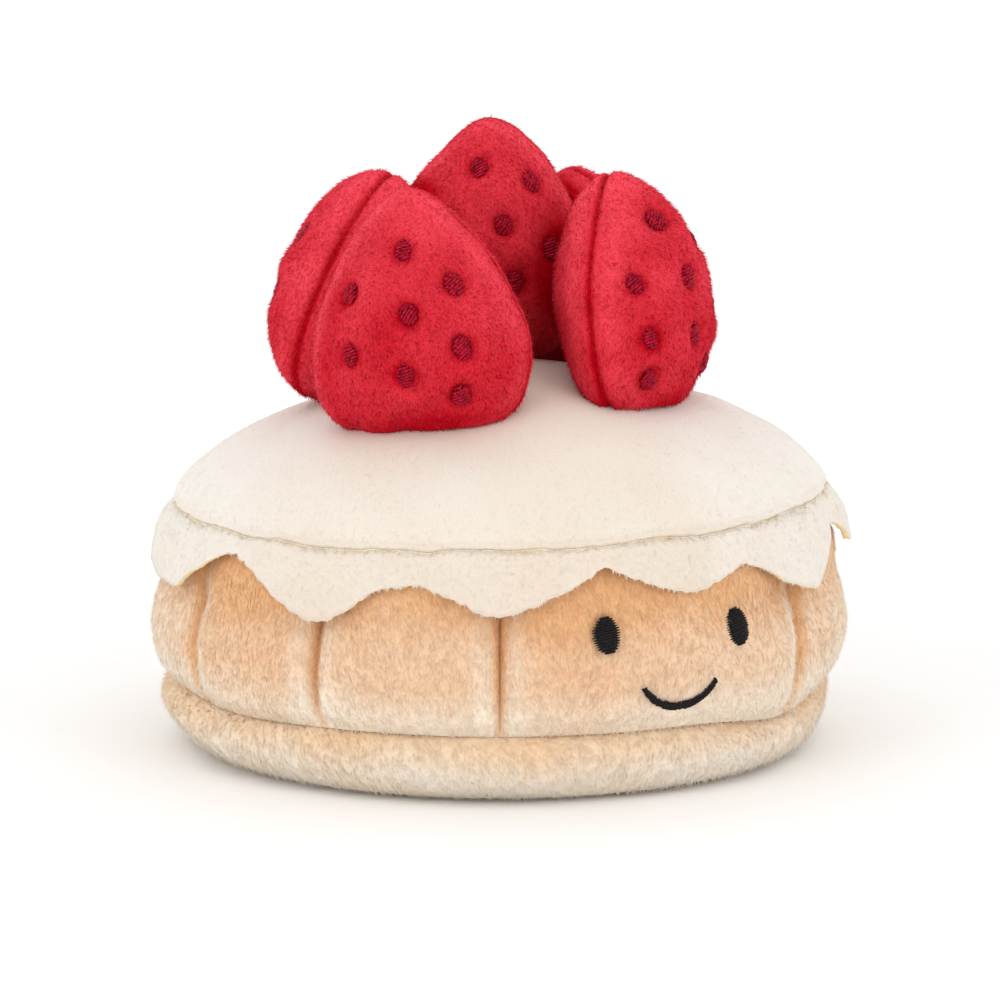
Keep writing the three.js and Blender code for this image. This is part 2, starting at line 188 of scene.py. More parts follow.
# %% Sizes
rest_radius = 50.0       # the flat round on which the toy stands
base_radius = 62.0
base_belly = 9.0         # the height where the base cushion is widest
lower_seam = 12.9        # the height of the seam between base and crust
lower_seam_radius = 59.5
crust_radius = 65.0
crust_belly = 23.0
upper_seam = 46.3        # the height of the seam between crust and icing
upper_seam_radius = 58.4
seam_slope = 0.026       # how far the upper seam rises for each mm towards +X
icing_radius = 59.6
icing_rise = 24.6
flap_radius = 64.8
flap_thickness = 1.2
clearance = 0.3          # between one stuffed piece and the next
pile_depth = 0.7         # how far a skin lies below the tips of its pile
pile_start = 57.0        # no pile on the hidden faces between base and crust inside this radius
seam_sags = [
    # azimuth and reach in degrees, and how far the lower seam sags there, in mm
    (58.0, 14.0, 2.3),
    (-55.0, 20.0, 1.0),
]
print("the toy is", 2 * crust_radius, "mm wide, its upper seam", upper_seam, "mm high")

# %% [markdown]
# Places on the toy. A round toy is best described by azimuth, radius and height. The azimuth of a
# point is counted from the front and grows towards +X. These helpers turn such places into
# points and back. They also add what keeps the toy from looking turned on a lathe: a seam that
# slopes and sags, and soft random swellings.

# %% Helpers for places
def unit(vectors):
    return vectors / np.maximum(np.linalg.norm(vectors, axis=-1, keepdims=True), 1e-9)


def around_front(azimuth):
    """An azimuth in degrees, from -180 to 180."""
    return (np.degrees(azimuth) + 180.0) % 360.0 - 180.0


def azimuth_of(points):
    return np.arctan2(points[..., 0], -points[..., 1])


def radius_of(points):
    return np.hypot(points[..., 0], points[..., 1])


def facing_out(points, normals):
    """How far the cloth at some points faces away from the toy's axis, from -1 to 1."""
    return (normals * unit(points * [1.0, 1.0, 0.0])).sum(-1)


def sagging(azimuth, height):
    """How far the cloth hangs with the lower seam, which isn't quite level."""
    follows = np.sin(math.pi * np.clip((height - 3.0) / 20.0, 0.0, 1.0)) ** 2
    return follows * sum(
        amount * np.exp(-(((around_front(azimuth) - at) / reach) ** 2))
        for at, reach, amount in seam_sags)


def place(azimuth, radius, height):
    """Points of the crust and icing, which lean a little: the upper seam rises towards +X."""
    across = radius * np.sin(azimuth)
    rise = np.clip((height - lower_seam) / (upper_seam - lower_seam), 0.0, 1.0)
    sag = sagging(azimuth, height) * np.clip(radius / base_radius, 0.0, 1.0)
    return np.stack(
        [across, -radius * np.cos(azimuth), height + seam_slope * across * rise - sag], -1)


def ring_points(azimuths, radius):
    """Points on a level ring, for swellings that change only on the way round."""
    return radius * np.concatenate([np.cos(azimuths), np.sin(azimuths), 0 * azimuths], -1)


def ease(share):
    """A smooth step from 0 to 1."""
    share = np.clip(share, 0.0, 1.0)
    return share * share * (3.0 - 2.0 * share)


def waves(points, size, seed, count=20):
    """Soft random swellings about size across, mostly between -1 and 1."""
    random = np.random.default_rng(seed)
    total = np.zeros(points.shape[:-1])
    for _ in range(count):
        direction = random.normal(size=3)
        direction *= 2.0 * math.pi / size * random.uniform(0.6, 1.5) / np.linalg.norm(direction)
        total += np.sin(points @ direction + random.uniform(0.0, 2.0 * math.pi))
    return total / math.sqrt(2.0 * count)


print("the crust's front is at", np.round(place(0.0, crust_radius, crust_belly), 1))

# %% [markdown]
# Skins. Each stuffed piece starts as a grid of points bent into its shape: one direction runs
# round the piece, the other along its outline. A modelling program would call it a lathe or a
# loft. Making the grid with numpy keeps every fold under the control of a formula.

# %% A skin from a grid of points
def skin_piece(name, grid, materials, node=None, loop=False):
    """Makes one closed skin from a grid of points. Its first direction runs round the piece."""
    around, along = grid.shape[:2]
    index = np.arange(around * along).reshape(around, along)
    beside = np.roll(index, -1, axis=0)
    here = np.arange(along if loop else along - 1)
    after = (here + 1) % along
    quads = np.stack([index[:, here], beside[:, here], beside[:, after], index[:, after]], -1)
    mesh = bpy.data.meshes.new(name)
    mesh.from_pydata((grid.reshape(-1, 3) * MM).tolist(), [], quads.reshape(-1, 4).tolist())
    shape = bmesh.new()
    shape.from_mesh(mesh)
    bmesh.ops.remove_doubles(shape, verts=shape.verts, dist=1e-7)
    bmesh.ops.recalc_face_normals(shape, faces=shape.faces)
    shape.to_mesh(mesh)
    shape.free()
    mesh.polygons.foreach_set("use_smooth", np.ones(len(mesh.polygons), bool))
    for material in materials:
        mesh.materials.append(material)
    return finish_piece(name, mesh, node)


def finish_piece(name, mesh, node):
    """Puts a mesh in the scene as a piece of the toy, in place of its plain solid."""
    piece = bpy.data.objects.new(name, mesh)
    bpy.context.collection.objects.link(piece)
    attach(piece, "root")
    if node:
        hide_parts(node)
    print(name, "has", len(mesh.polygons), "faces")
    return piece


# %% [markdown]
# The colour of plush. Short pile looks deep in colour at its roots, where the hairs shade each
# other, and pale at its tips, which catch the light: here the darker roots are painted shade and
# the paler tips painted highlight. It also changes with the way it was last stroked. Each plush
# here therefore has four colours: root and tip of its deep colour, and root and tip of its pale
# colour. One value mixes the two pairs, and every skin carries it as an attribute. Besides the
# stroke of the pile, that value holds painted shade in creases, seams and narrow gaps, and painted
# highlight on rims and sides. A texture could paint the shades, but an attribute goes with the skin
# and needs no picture.

# %% Colours of a plush
def let_light_through(shader, glow, depth=0.8):
    """Light spreads a little inside the cloth, and comes out in the plush's own colour."""
    shader.inputs["Specular IOR Level"].default_value = 0.02
    shader.inputs["Subsurface Weight"].default_value = 0.5
    shader.inputs["Subsurface Radius"].default_value = glow
    shader.inputs["Subsurface Scale"].default_value = depth * MM


def nap_and_shade_colour(nodes, links, deep, pale, nap_and_shade, height):
    """Mixes (root, tip) pairs of colours: by height up the pile, with the roots darker as painted
    shade, and then by the value that holds the stroke of the pile and painted shade and highlight.
    """
    pair = []
    for root, tip in (deep, pale):
        mix = add_node(nodes, links, "ShaderNodeMix", {"data_type": "RGBA"}, {
            0: height, 6: root, 7: tip})
        pair.append(mix.outputs[2])
    both = add_node(nodes, links, "ShaderNodeMix", {"data_type": "RGBA"}, {
        0: nap_and_shade, 6: pair[0], 7: pair[1]})
    return both.outputs[2]


glows = {
    # how far red, green and blue light spread inside each plush, beside one another
    "base": (1.0, 0.7, 0.5), "crust": (1.0, 0.65, 0.4), "icing": (1.0, 0.85, 0.7),
    "berry": (0.5, 0.1, 0.1), "backing": (1.0, 0.8, 0.6), "seam": (1.0, 0.8, 0.6)}
plush = {
    # deep (root, tip) and pale (root, tip)
    "base": ((colour(226, 190, 151), colour(237, 212, 181)),
             (colour(235, 220, 199), colour(241, 236, 226))),
    "crust": ((colour(220, 161, 109), colour(233, 191, 147)),
              (colour(236, 216, 189), colour(245, 237, 223))),
    "icing": ((colour(224, 208, 189), colour(226, 213, 197)),
              (colour(232, 225, 216), colour(234, 230, 223))),
    "berry": ((colour(166, 2, 22), colour(202, 12, 32)),
              (colour(215, 22, 42), colour(247, 92, 108))),
}
print("kinds of plush:", ", ".join(plush))

# %% [markdown]
# The cloth. Under and between the tufts we see the ground of the plush, dense with hairs too
# short to model. A fine noise, stretched the way the pile lies, stands for them in colour and
# bump, and the shader's sheen gives the soft bright rim that all plush has.

# %% Material of the cloth under the pile
def cloth_material(name, kind, stretch, sheen, grain_size=0.32):
    material, nodes, links, shader = new_material(name, 0.95)
    deep, pale = plush[kind]
    where = add_node(nodes, links, "ShaderNodeTexCoord")
    squeeze = add_node(nodes, links, "ShaderNodeMapping", inputs={
        "Vector": where.outputs["Object"], "Scale": stretch})
    hairs = add_node(nodes, links, "ShaderNodeTexNoise", inputs={
        "Vector": squeeze.outputs["Vector"], "Scale": 1.0 / (grain_size * MM), "Detail": 3.0,
        "Roughness": 0.6})
    height = add_node(nodes, links, "ShaderNodeMapRange", inputs={
        "Value": hairs.outputs["Fac"], "From Min": 0.3, "From Max": 0.7, "To Min": 0.15})
    # the skin's value: the stroke of the pile, with painted shade and painted highlight
    nap_and_shade = add_node(nodes, links, "ShaderNodeAttribute", {"attribute_name": "nap_and_shade"})
    links.new(nap_and_shade_colour(nodes, links, deep, pale, nap_and_shade.outputs["Fac"], height.outputs["Result"]),
              shader.inputs["Base Color"])
    bump = add_node(nodes, links, "ShaderNodeBump", inputs={
        "Height": hairs.outputs["Fac"], "Strength": 0.25, "Distance": 0.3 * MM})
    links.new(bump.outputs["Normal"], shader.inputs["Normal"])
    let_light_through(shader, glows[kind])
    shader.inputs["Sheen Weight"].default_value = sheen
    shader.inputs["Sheen Roughness"].default_value = 0.4
    shader.inputs["Sheen Tint"].default_value = pale[1]
    return material


def mesh_points(mesh):
    """The points of a mesh, in mm."""
    points = np.empty(3 * len(mesh.vertices))
    mesh.vertices.foreach_get("co", points)
    return points.reshape(-1, 3) / MM


def set_nap_and_shade(piece, nap_and_shade_at):
    """Stores on a skin the value that mixes its colours: the stroke of the pile, painted shade and
    painted highlight. The given function gives it for points in mm, from 0 deep to 1 pale.
    """
    values = np.clip(nap_and_shade_at(mesh_points(piece.data)), 0.0, 1.0)
    piece.data.attributes.new("nap_and_shade", "FLOAT", "POINT").data.foreach_set("value", values)


# %% [markdown]
# The pile. Plush is thousands of short hairs that all lean one way. Blender's hair system would be
# quick to comb, but its strands are lost when the model is exported. So each tuft of hairs is a
# real little spike with three sides, shaped like a low roof: it lies on the cloth with its ridge
# up, so that both its upper sides catch the light and few dark sides show. A spike knows its colour
# by its place in a UV map: across the map runs the value that holds the stroke of the pile and
# painted shade and highlight, and up the map runs the way from its root to its tip, darker at the
# root as painted shade.

# %% Material of the pile
def pile_material(name, kind, sheen):
    material, nodes, links, shader = new_material(name, 0.95)
    deep, pale = plush[kind]
    tuft = add_node(nodes, links, "ShaderNodeUVMap", {"uv_map": "OFBake"})
    parts = add_node(nodes, links, "ShaderNodeSeparateXYZ", inputs={"Vector": tuft.outputs["UV"]})
    height = add_node(nodes, links, "ShaderNodeMath", {"operation": "MULTIPLY"}, {
        0: parts.outputs["Y"], 1: 2.0})
    links.new(nap_and_shade_colour(nodes, links, deep, pale, parts.outputs["X"], height.outputs[0]),
              shader.inputs["Base Color"])
    shader.inputs["Specular IOR Level"].default_value = 0.02
    shader.inputs["Sheen Weight"].default_value = sheen
    shader.inputs["Sheen Roughness"].default_value = 0.35
    shader.inputs["Sheen Tint"].default_value = pale[1]
    return material

# %% [markdown]
# Where the tufts stand, and which way they lie. Tufts should be even on the cloth, however large
# or small its faces are. A scatter node could place them, but picking each face by its share of
# the area does the same in a few lines, and gives the same tufts at every run. On real plush the
# pile is stroked one way and strays in soft swirls, so the tufts are combed along the cloth.

# %% Roots for the pile
def scatter(piece, count, seed, keep):
    """Random places on a skin, evenly by area, in millimetres, with the skin's normals there.
    keep gives the share of the pile that a place has, from 0 to 1."""
    mesh = piece.data
    mesh.calc_loop_triangles()
    corners = np.empty(3 * len(mesh.loop_triangles), np.int32)
    mesh.loop_triangles.foreach_get("vertices", corners)
    corners = corners.reshape(-1, 3)
    points = mesh_points(mesh)
    normals = np.empty(3 * len(mesh.vertices), np.float32)
    mesh.vertex_normals.foreach_get("vector", normals)
    normals = normals.reshape(-1, 3)
    a, b, c = (points[corners[:, i]] for i in range(3))
    across = np.cross(b - a, c - a)
    area = np.linalg.norm(across, axis=1) / 2.0 * keep((a + b + c) / 3.0, unit(across))
    random = np.random.default_rng(seed)
    chosen = np.searchsorted(np.cumsum(area), random.uniform(0.0, area.sum(), count))
    picked = corners[np.minimum(chosen, len(corners) - 1)]
    weight = random.dirichlet((1.0, 1.0, 1.0), count)[..., None]
    return (points[picked] * weight).sum(1), unit((normals[picked] * weight).sum(1)), area.sum()


def comb(points, normals, towards, stray, swirl_size, seed):
    """The way each tuft lies: along the skin towards a direction, straying in soft swirls."""
    flat = unit(towards - (towards * normals).sum(-1, keepdims=True) * normals)
    side = np.cross(normals, flat)
    turn = (stray * waves(points, swirl_size, seed))[..., None]
    return flat * np.cos(turn) + side * np.sin(turn)

# %% [markdown]
# The tufts themselves. Each is a closed spike with four points: three at its root and one at its
# tip. One object for each tuft would be far too slow, so all tufts of a piece go into one mesh,
# which numpy fills in one go. Shading normals that follow the skin make the pile look soft
# instead of thorny. The undersides keep their own, because the skin's would turn them black.

# %% Spikes
spike_faces = np.array([[0, 1, 3], [1, 2, 3], [2, 0, 3], [2, 1, 0]])
root_depth = 0.1         # how far a tuft starts below the skin, in mm
floor_gap = 0.03         # the tufts of the underside stay this far above the floor


def tuft_spikes(roots, normals, lie, length, width, lean, uneven, random):
    """The points of all spikes in metres, and the ways to their right and along them."""
    count = len(roots)
    lie = lie + 0.14 * random.normal(size=(count, 3))
    lie = unit(lie - (lie * normals).sum(-1, keepdims=True) * normals)
    lean = np.radians(lean) + (0.03 + 0.5 * uneven) * random.normal(size=count)
    axis = unit(normals * np.cos(lean)[:, None] + lie * np.sin(lean)[:, None])
    side = unit(np.cross(normals, lie))
    third = np.cross(axis, side)
    long = (length * random.uniform(0.7, 1.2, count))[:, None]
    wide = (width / 2.0 * random.uniform(0.75, 1.25, count))[:, None]
    roll = 0.25 * random.normal(size=count)[:, None]
    right = side * np.cos(roll) + third * np.sin(roll)
    ridge = third * np.cos(roll) - side * np.sin(roll)
    sunk = roots - root_depth * normals
    corners = [sunk + wide * right, sunk + 0.5 * wide * ridge, sunk - wide * right]
    points = np.stack([*corners, roots + long * axis], 1).reshape(-1, 3)
    points[:, 2] = np.maximum(points[:, 2], floor_gap)
    return points * MM, right, axis


def spike_mesh(name, points):
    """One mesh of many spikes, and the point numbers of its triangles."""
    count = len(points) // 4
    faces = (spike_faces[None] + 4 * np.arange(count)[:, None, None]).reshape(-1, 3)
    mesh = bpy.data.meshes.new(name)
    mesh.vertices.add(4 * count)
    mesh.vertices.foreach_set("co", points.ravel())
    mesh.loops.add(12 * count)
    mesh.loops.foreach_set("vertex_index", faces.ravel().astype(np.int32))
    mesh.polygons.add(4 * count)
    mesh.polygons.foreach_set("loop_start", np.arange(0, 12 * count, 3, dtype=np.int32))
    mesh.polygons.foreach_set("use_smooth", np.ones(4 * count, bool))
    mesh.update(calc_edges=True)
    return mesh, faces


def set_tuft_nap_and_shade(mesh, faces, nap_and_shade):
    """Writes each tuft's colour value, painted shade and highlight included, and its height into
    the UV map that its material reads.
    """
    shade = np.zeros((len(nap_and_shade), 4, 2))
    shade[..., 0] = nap_and_shade[:, None] + np.array([-0.0006, 0.0, 0.0006, 0.0])
    shade[..., 1] = [0.02, 0.02, 0.02, 0.49]
    layer = mesh.uv_layers.new(name="OFBake")
    layer.uv.foreach_set("vector", shade.reshape(-1, 2)[faces.ravel()].ravel())


def soften_spikes(mesh, points, faces, normals, right, axis, jitter):
    """Shading normals near those of the skin for the upper sides, and flat ones underneath."""
    count = len(normals)
    bent = np.stack([0.2 * right, 0.0 * right, -0.2 * right, 0.15 * axis], 1)
    bent = unit(bent + normals[:, None, :] + jitter).reshape(-1, 3)
    shading = bent[faces].reshape(count, 4, 3, 3)
    a, b, c = (points[faces[:, i]].reshape(count, 4, 3) for i in range(3))
    flat = unit(np.cross(b - a, c - a) * 1e6)
    shading[:, 2:] = flat[:, 2:, None, :]
    mesh.normals_split_custom_set(shading.reshape(-1, 3).tolist())


# %% [markdown]
# One call for a whole pile. It finds the roots, combs them and grows the spikes. Every plush on
# the toy differs only in the values it passes: how many tufts, how long and how upright.

# %% Pile
def grow_pile(piece, name, material, nap_and_shade_at, seed, tufts, keep, towards, stray, swirl_size,
              length, width, lean, uneven=0.16):
    """Length, width and swirl size are in mm, lean is in degrees from upright. Towards is the way
    the pile is stroked, or a function that gives it for each root. Uneven is how much the tufts
    differ from each other in nap and in the way they stand."""
    roots, normals, area = scatter(piece, tufts, seed, keep)
    roots[:, 2] = np.maximum(roots[:, 2], 0.25)
    stroke = np.array(towards(roots) if callable(towards) else towards)
    lie = comb(roots, normals, stroke, stray, swirl_size, seed + 1)
    random = np.random.default_rng(seed + 2)
    points, right, axis = tuft_spikes(roots, normals, lie, length, width, lean, uneven, random)
    mesh, faces = spike_mesh(name, points)
    nap_and_shade = np.clip(nap_and_shade_at(roots) + uneven * random.normal(size=tufts), 0.01, 0.99)
    set_tuft_nap_and_shade(mesh, faces, nap_and_shade)
    jitter = 0.6 * uneven * random.normal(size=(tufts, 1, 3))
    soften_spikes(mesh, points, faces, normals, right, axis, jitter)
    mesh.materials.append(material)
    print(name, "has", round(tufts / area, 2), "tufts on each square mm")
    return finish_piece(name, mesh, None)


# %% [markdown]
# The base cushion is a round cushion with a flat underside. Its edge is a quarter of an ellipse
# that rolls over into the lower seam, and the seam's stitches draw it in at small even puckers.
# It could be a squashed sphere with cloth simulation, but an outline turned round the middle
# gives the roll and the flat underside exactly.

# %% Outline of the base cushion
base_top = lower_seam - 0.02
tuck = base_radius - lower_seam_radius + 0.6
underside = [(r, 0.0) for r in np.linspace(8.0, rest_radius, 8)[:-1]]
lower_roll = [
    (rest_radius + (base_radius - rest_radius) * math.sin(t), base_belly * (1.0 - math.cos(t)))
    for t in np.linspace(0.0, math.pi / 2.0, 16)]
upper_roll = [
    (base_radius - tuck * (1.0 - math.cos(t)), base_belly + (base_top - base_belly) * math.sin(t))
    for t in np.linspace(0.0, math.pi / 2.0, 9)[1:]]
inner_side = [(r, base_top) for r in np.linspace(50.0, 0.0, 6)]
base_outline = [(0.0, 0.0), *underside, *lower_roll, *upper_roll, *inner_side]
print("the base's outline has", len(base_outline), "points")


def turned_outline(outline, count):
    """Azimuths, radii and heights of the grid that an outline of (radius, height) makes."""
    azimuths = np.linspace(0.0, 2.0 * math.pi, count, endpoint=False)[:, None]
    outline = np.array(outline)
    return azimuths, outline[None, :, 0] + 0.0 * azimuths, outline[None, :, 1] + 0.0 * azimuths


# %% Base cushion
base_cloth = cloth_material("base_cloth", "base", (1.0, 1.0, 0.4), 0.12)
azimuths, radius, height = turned_outline(base_outline, 360)
side_share = ease((height - 0.5) / 4.0) * ease((radius - 48.0) / 6.0)
grid = place(azimuths, radius, height)
swell = 0.5 * waves(grid, 30.0, 11) + 0.15 * waves(grid, 9.0, 12)
stitches = np.cos(azimuths * 78 + 3.0 * np.sin(azimuths * 7))
pucker = 0.2 * stitches * ease((height - base_belly) / 3.0)
grid = place(azimuths, radius + side_share * (swell + pucker - pile_depth), height)
grid[..., 0] -= 1.0 * ease(height / base_belly)
base = skin_piece("base_cushion_cloth", grid, [base_cloth], "base_cushion")


def base_nap_and_shade(points):
    """Deeper in colour up at the seam, as painted shade under the crust, and paler below."""
    return 0.8 - 0.65 * ease((points[:, 2] - 5.0) / 6.0) + 0.16 * waves(points, 15.0, 24)


set_nap_and_shade(base, base_nap_and_shade)

# %% [markdown]
# The base's pile is the longest on the toy, about 1.6 mm, and it is stroked downwards and a
# little to the right. The underside is hardly ever seen, so it has only a thin pile.

# %% Base pile
def on_base(points, normals):
    """The underside needs only a thin pile, and the face inside the seam needs none."""
    inner = (normals[:, 2] > 0.8) & (radius_of(points) < pile_start)
    under = np.where(normals[:, 2] < -0.9, 0.2, 1.0)
    return np.where(inner, 0.0, under)


grow_pile(base, "base_cushion_pile", pile_material("base_pile", "base", 0.12),
          base_nap_and_shade, seed=21, tufts=22000, keep=on_base, towards=(0.35, 0.0, -1.0), stray=0.4,
          swirl_size=26.0, length=1.6, width=0.24, lean=67.0)

# %% [markdown]
# The crust is a ring of stuffed pads between upright seams. Ten pads go round, and the one with
# the face is nearly twice as wide as the rest. A pad is flat in the middle, rounds off quickly and
# dives into its seam. Ten separate pads would need ten forms that meet exactly. One skin whose
# radius dips at each seam has no gaps, and one formula for the dip shapes all the pads.

# %% Outline of a pad
pad_points = np.array([
    (lower_seam_radius, lower_seam + 0.02),
    (63.4, 16.4),
    (crust_radius, crust_belly),
    (64.2, 28.8),
    (62.9, 33.0),
    (62.5, 37.5),
    (61.2, 42.0),
    (upper_seam_radius, upper_seam - clearance / 2.0),
])


def spline(points, share):
    """A smooth curve through some points, at a share of the way along it."""
    last = len(points) - 1
    position = np.clip(share, 0.0, 1.0) * last
    i = np.minimum(position.astype(int), last - 1)
    t = (position - i)[..., None]
    p0, p1 = points[np.maximum(i - 1, 0)], points[i]
    p2, p3 = points[i + 1], points[np.minimum(i + 2, last)]
    v0, v1 = (p2 - p0) / 2.0, (p3 - p1) / 2.0
    return ((2 * p1 - 2 * p2 + v0 + v1) * t**3 + (3 * p2 - 3 * p1 - 2 * v0 - v1) * t**2
            + v0 * t + p1)


pad_line = spline(pad_points, np.linspace(0.0, 1.0, 400))
print("a pad reaches out to", round(float(pad_line[:, 0].max()), 2), "mm")


def pad_radius(height):
    return np.interp(height, pad_line[:, 1], pad_line[:, 0])


# %% Upright seams
pad_seams = np.radians([0.0, *np.linspace(60.7, 297.0, 8), 327.5, 360.0])
seam_unit = 2.0 * math.pi / 11.0
print("the crust has", len(pad_seams) - 1, "pads")


def from_seam(azimuth):
    """How far an azimuth is from the nearest upright seam, in widths of a plain pad."""
    apart = np.abs((azimuth % (2.0 * math.pi))[..., None] - pad_seams)
    return apart.min(-1) / seam_unit


def behind_seam(azimuth):
    """The same, but less than 0 on the side of the seam that is nearer to the front."""
    turned = (azimuth % (2.0 * math.pi))[..., None] - pad_seams
    nearest = np.take_along_axis(turned, np.abs(turned).argmin(-1)[..., None], -1)[..., 0]
    return nearest / seam_unit * np.sign(around_front(azimuth))


def crust_surface(azimuth, height):
    """The radius of the crust with its seams drawn in."""
    apart = from_seam(azimuth)
    tight = np.sqrt(1.0 - (1.0 - np.clip(apart / 0.12, 0.0, 1.0)) ** 2)
    broad = 1.0 - (1.0 - np.clip(apart / 0.45, 0.0, 1.0)) ** 2
    span = np.clip((height - lower_seam) / (upper_seam - lower_seam), 0.0, 1.0)
    drawn_in = np.sin(math.pi * span) ** 0.45
    return pad_radius(height) - drawn_in * (3.2 * (1.0 - tight) + 2.0 * (1.0 - broad))


# %% [markdown]
# The crust's skin. A curve as tight as the one beside a seam needs many points, and the flat
# middle of a pad needs few. So the grid's columns crowd together at the seams.

# %% Crust
crust_cloth = cloth_material("crust_cloth", "crust", (1.0, 1.0, 0.4), 0.12)
column_angle = 0.0115
rows_up, rows_inside = 56, 5
azimuths = []
for start, end in zip(pad_seams[:-1], pad_seams[1:]):
    share = np.linspace(0.0, 1.0, round((end - start) / column_angle), endpoint=False)
    crowded = 0.45 * share + 0.55 * (0.5 - 0.5 * np.cos(math.pi * share))
    azimuths += list(start + (end - start) * crowded)
azimuths = np.array(azimuths)[:, None]
wall = spline(pad_points, np.linspace(0.0, 1.0, rows_up))
inner = np.linspace(0.0, 56.0, rows_inside)
heights = np.concatenate([0 * inner + wall[0, 1], wall[:, 1], 0 * inner + wall[-1, 1]])[None, :]
heights = heights + 0.0 * azimuths
radii = crust_surface(azimuths, heights)
radii[:, :rows_inside] = inner
radii[:, -rows_inside:] = inner[::-1]
grid = place(azimuths, radii, heights)
from_edge = np.minimum(np.arange(rows_up), np.arange(rows_up)[::-1])
on_wall = np.zeros_like(radii)
on_wall[:, rows_inside:-rows_inside] = ease(from_edge / 5.0)
middle_share = ease(from_seam(azimuths) / 0.25) * on_wall
swell = 0.45 * waves(grid, 34.0, 31) + 0.16 * waves(grid, 11.0, 32)
grid = place(azimuths, radii - pile_depth * on_wall + middle_share * swell, heights)
crust = skin_piece("crust_cloth", grid, [crust_cloth], "crust_wall")

# %% [markdown]
# The crust's colour value. It is deeper towards the top, under the flap, as painted shade, and
# darker in the creases and just behind the seams on the sides that turn away, also painted shade.
# It is paler towards the lower edge, and paler at the rims of the pads and on the far sides as
# painted highlight. Two soft patches, at -45 and 8 degrees, are deeper. It could be painted by
# hand, but a sum of soft spots keeps to the seams wherever they go.

# %% Nap of the crust
def crust_nap_and_shade(points):
    azimuth = azimuth_of(points)
    front = around_front(azimuth)
    apart = from_seam(azimuth)
    # painted highlight along the rims of the pads, beside each seam
    rim_highlight = np.exp(-(((apart - 0.08) / 0.06) ** 2))
    # painted shade in the creases
    crease = np.exp(-((apart / 0.03) ** 2))
    low = 1.0 - ease((points[:, 2] - 13.0) / 11.0)
    # painted shade towards the top, under the flap
    high = ease((points[:, 2] - 26.0) / 12.0)
    # painted highlight on the far sides
    side = np.exp(-(((np.abs(front) - 86.0) / 14.0) ** 2))
    behind = behind_seam(azimuth)
    turned_away = ease((np.abs(front) - 45.0) / 15.0)
    # painted shade just behind the seams on the sides that turn away
    shade_behind_seam = np.exp(-(((behind - 0.04) / 0.06) ** 2)) * (behind > 0.0) * turned_away
    # the painted rim highlight is stronger on the near side of the seams that turn away
    lit = rim_highlight * (1.0 + 0.8 * turned_away * (behind < 0.0))
    deeper_patches = sum(np.exp(-(((front - at) / 12.0) ** 2)) for at in (-45.0, 8.0))
    return (0.45 + 0.55 * low - 0.42 * high + 0.25 * lit - 0.5 * crease + 0.35 * side
            - 0.45 * shade_behind_seam - 0.2 * deeper_patches + 0.08 * waves(points, 16.0, 36))


set_nap_and_shade(crust, crust_nap_and_shade)

# %% [markdown]
# The hem of the icing's flap hangs over the crust in scallops. It is worked out here already,
# because the crust needs hardly any pile where the flap covers it. A plain spline through the
# hem's turns would swing past them, so they are joined by a curve that is level at each of them,
# as a hand-cut scallop is, but for one sharp notch.

# %% Hem of the drip flap
front_hem = [
    # azimuth in degrees and height of each turn of the hem
    (-80.0, 35.2), (-70.0, 34.4), (-65.0, 35.0), (-58.2, 39.4), (-50.0, 43.6), (-45.2, 41.8),
    (-38.2, 36.9), (-30.4, 33.5), (-24.6, 36.4), (-19.2, 40.2), (-14.5, 41.1), (-8.0, 39.0),
    (-0.6, 35.6), (6.3, 38.0), (12.6, 40.7), (17.0, 43.3), (21.9, 40.9), (32.5, 37.5),
    (38.2, 38.6), (43.3, 40.7), (47.1, 39.5), (54.0, 35.6), (62.0, 33.4), (67.0, 35.6),
    (73.5, 42.4), (86.0, 37.2),
]
cusp_azimuth = 17.0


def back_hem():
    """The rest of the scallops follow each other evenly, each a little different."""
    count = 5
    start = front_hem[-1][0]
    step = (360.0 + front_hem[0][0] - start) / (count + 1)
    points = []
    for i in range(count + 1):
        drift = math.sin(2.3 * i + 0.4)
        points.append((start + step * (i + 0.45) + 1.5 * drift, 42.0 + 0.9 * drift))
        if i < count:
            points.append((start + step * (i + 1) - 1.5 * drift, 35.0 - 1.7 * math.cos(2 * i)))
    return points


hem = np.array(front_hem + back_hem())
print("the hem has", len(hem), "turns")


def hem_height(azimuth):
    """The hem's height at an azimuth in radians: level at its tips and notches, but for a cusp."""
    first = hem[0, 0]
    degrees = first + (np.degrees(azimuth) - first) % 360.0
    at = np.concatenate([hem[-2:, 0] - 360.0, hem[:, 0], hem[:2, 0] + 360.0])
    high = np.concatenate([hem[-2:, 1], hem[:, 1], hem[:2, 1]])
    i = np.clip(np.searchsorted(at, degrees, side="right") - 1, 1, len(at) - 3)
    slope = np.diff(high) / np.diff(at)

    def level(before, after):
        same = before * after > 0.0
        return np.where(same, 2 * before * after / np.where(same, before + after, 1.0), 0.0)

    width = at[i + 1] - at[i]
    here = slope[i]
    start = np.where(at[i] == cusp_azimuth, here, level(slope[i - 1], here)) * width
    end = np.where(at[i + 1] == cusp_azimuth, here, level(here, slope[i + 1])) * width
    t = (degrees - at[i]) / width
    return ((2 * t**3 - 3 * t**2 + 1) * high[i] + (t**3 - 2 * t**2 + t) * start
            + (3 * t**2 - 2 * t**3) * high[i + 1] + (t**3 - t**2) * end)


# %% [markdown]
# The crust's pile. It stops short of the seams, so that they stay clean, and of the stitched
# face, so that no tuft pokes through the thread. Hair could be shaved off there by hand. Here a
# function knows the places of the two eyes and the smile, and keeps the tufts away.

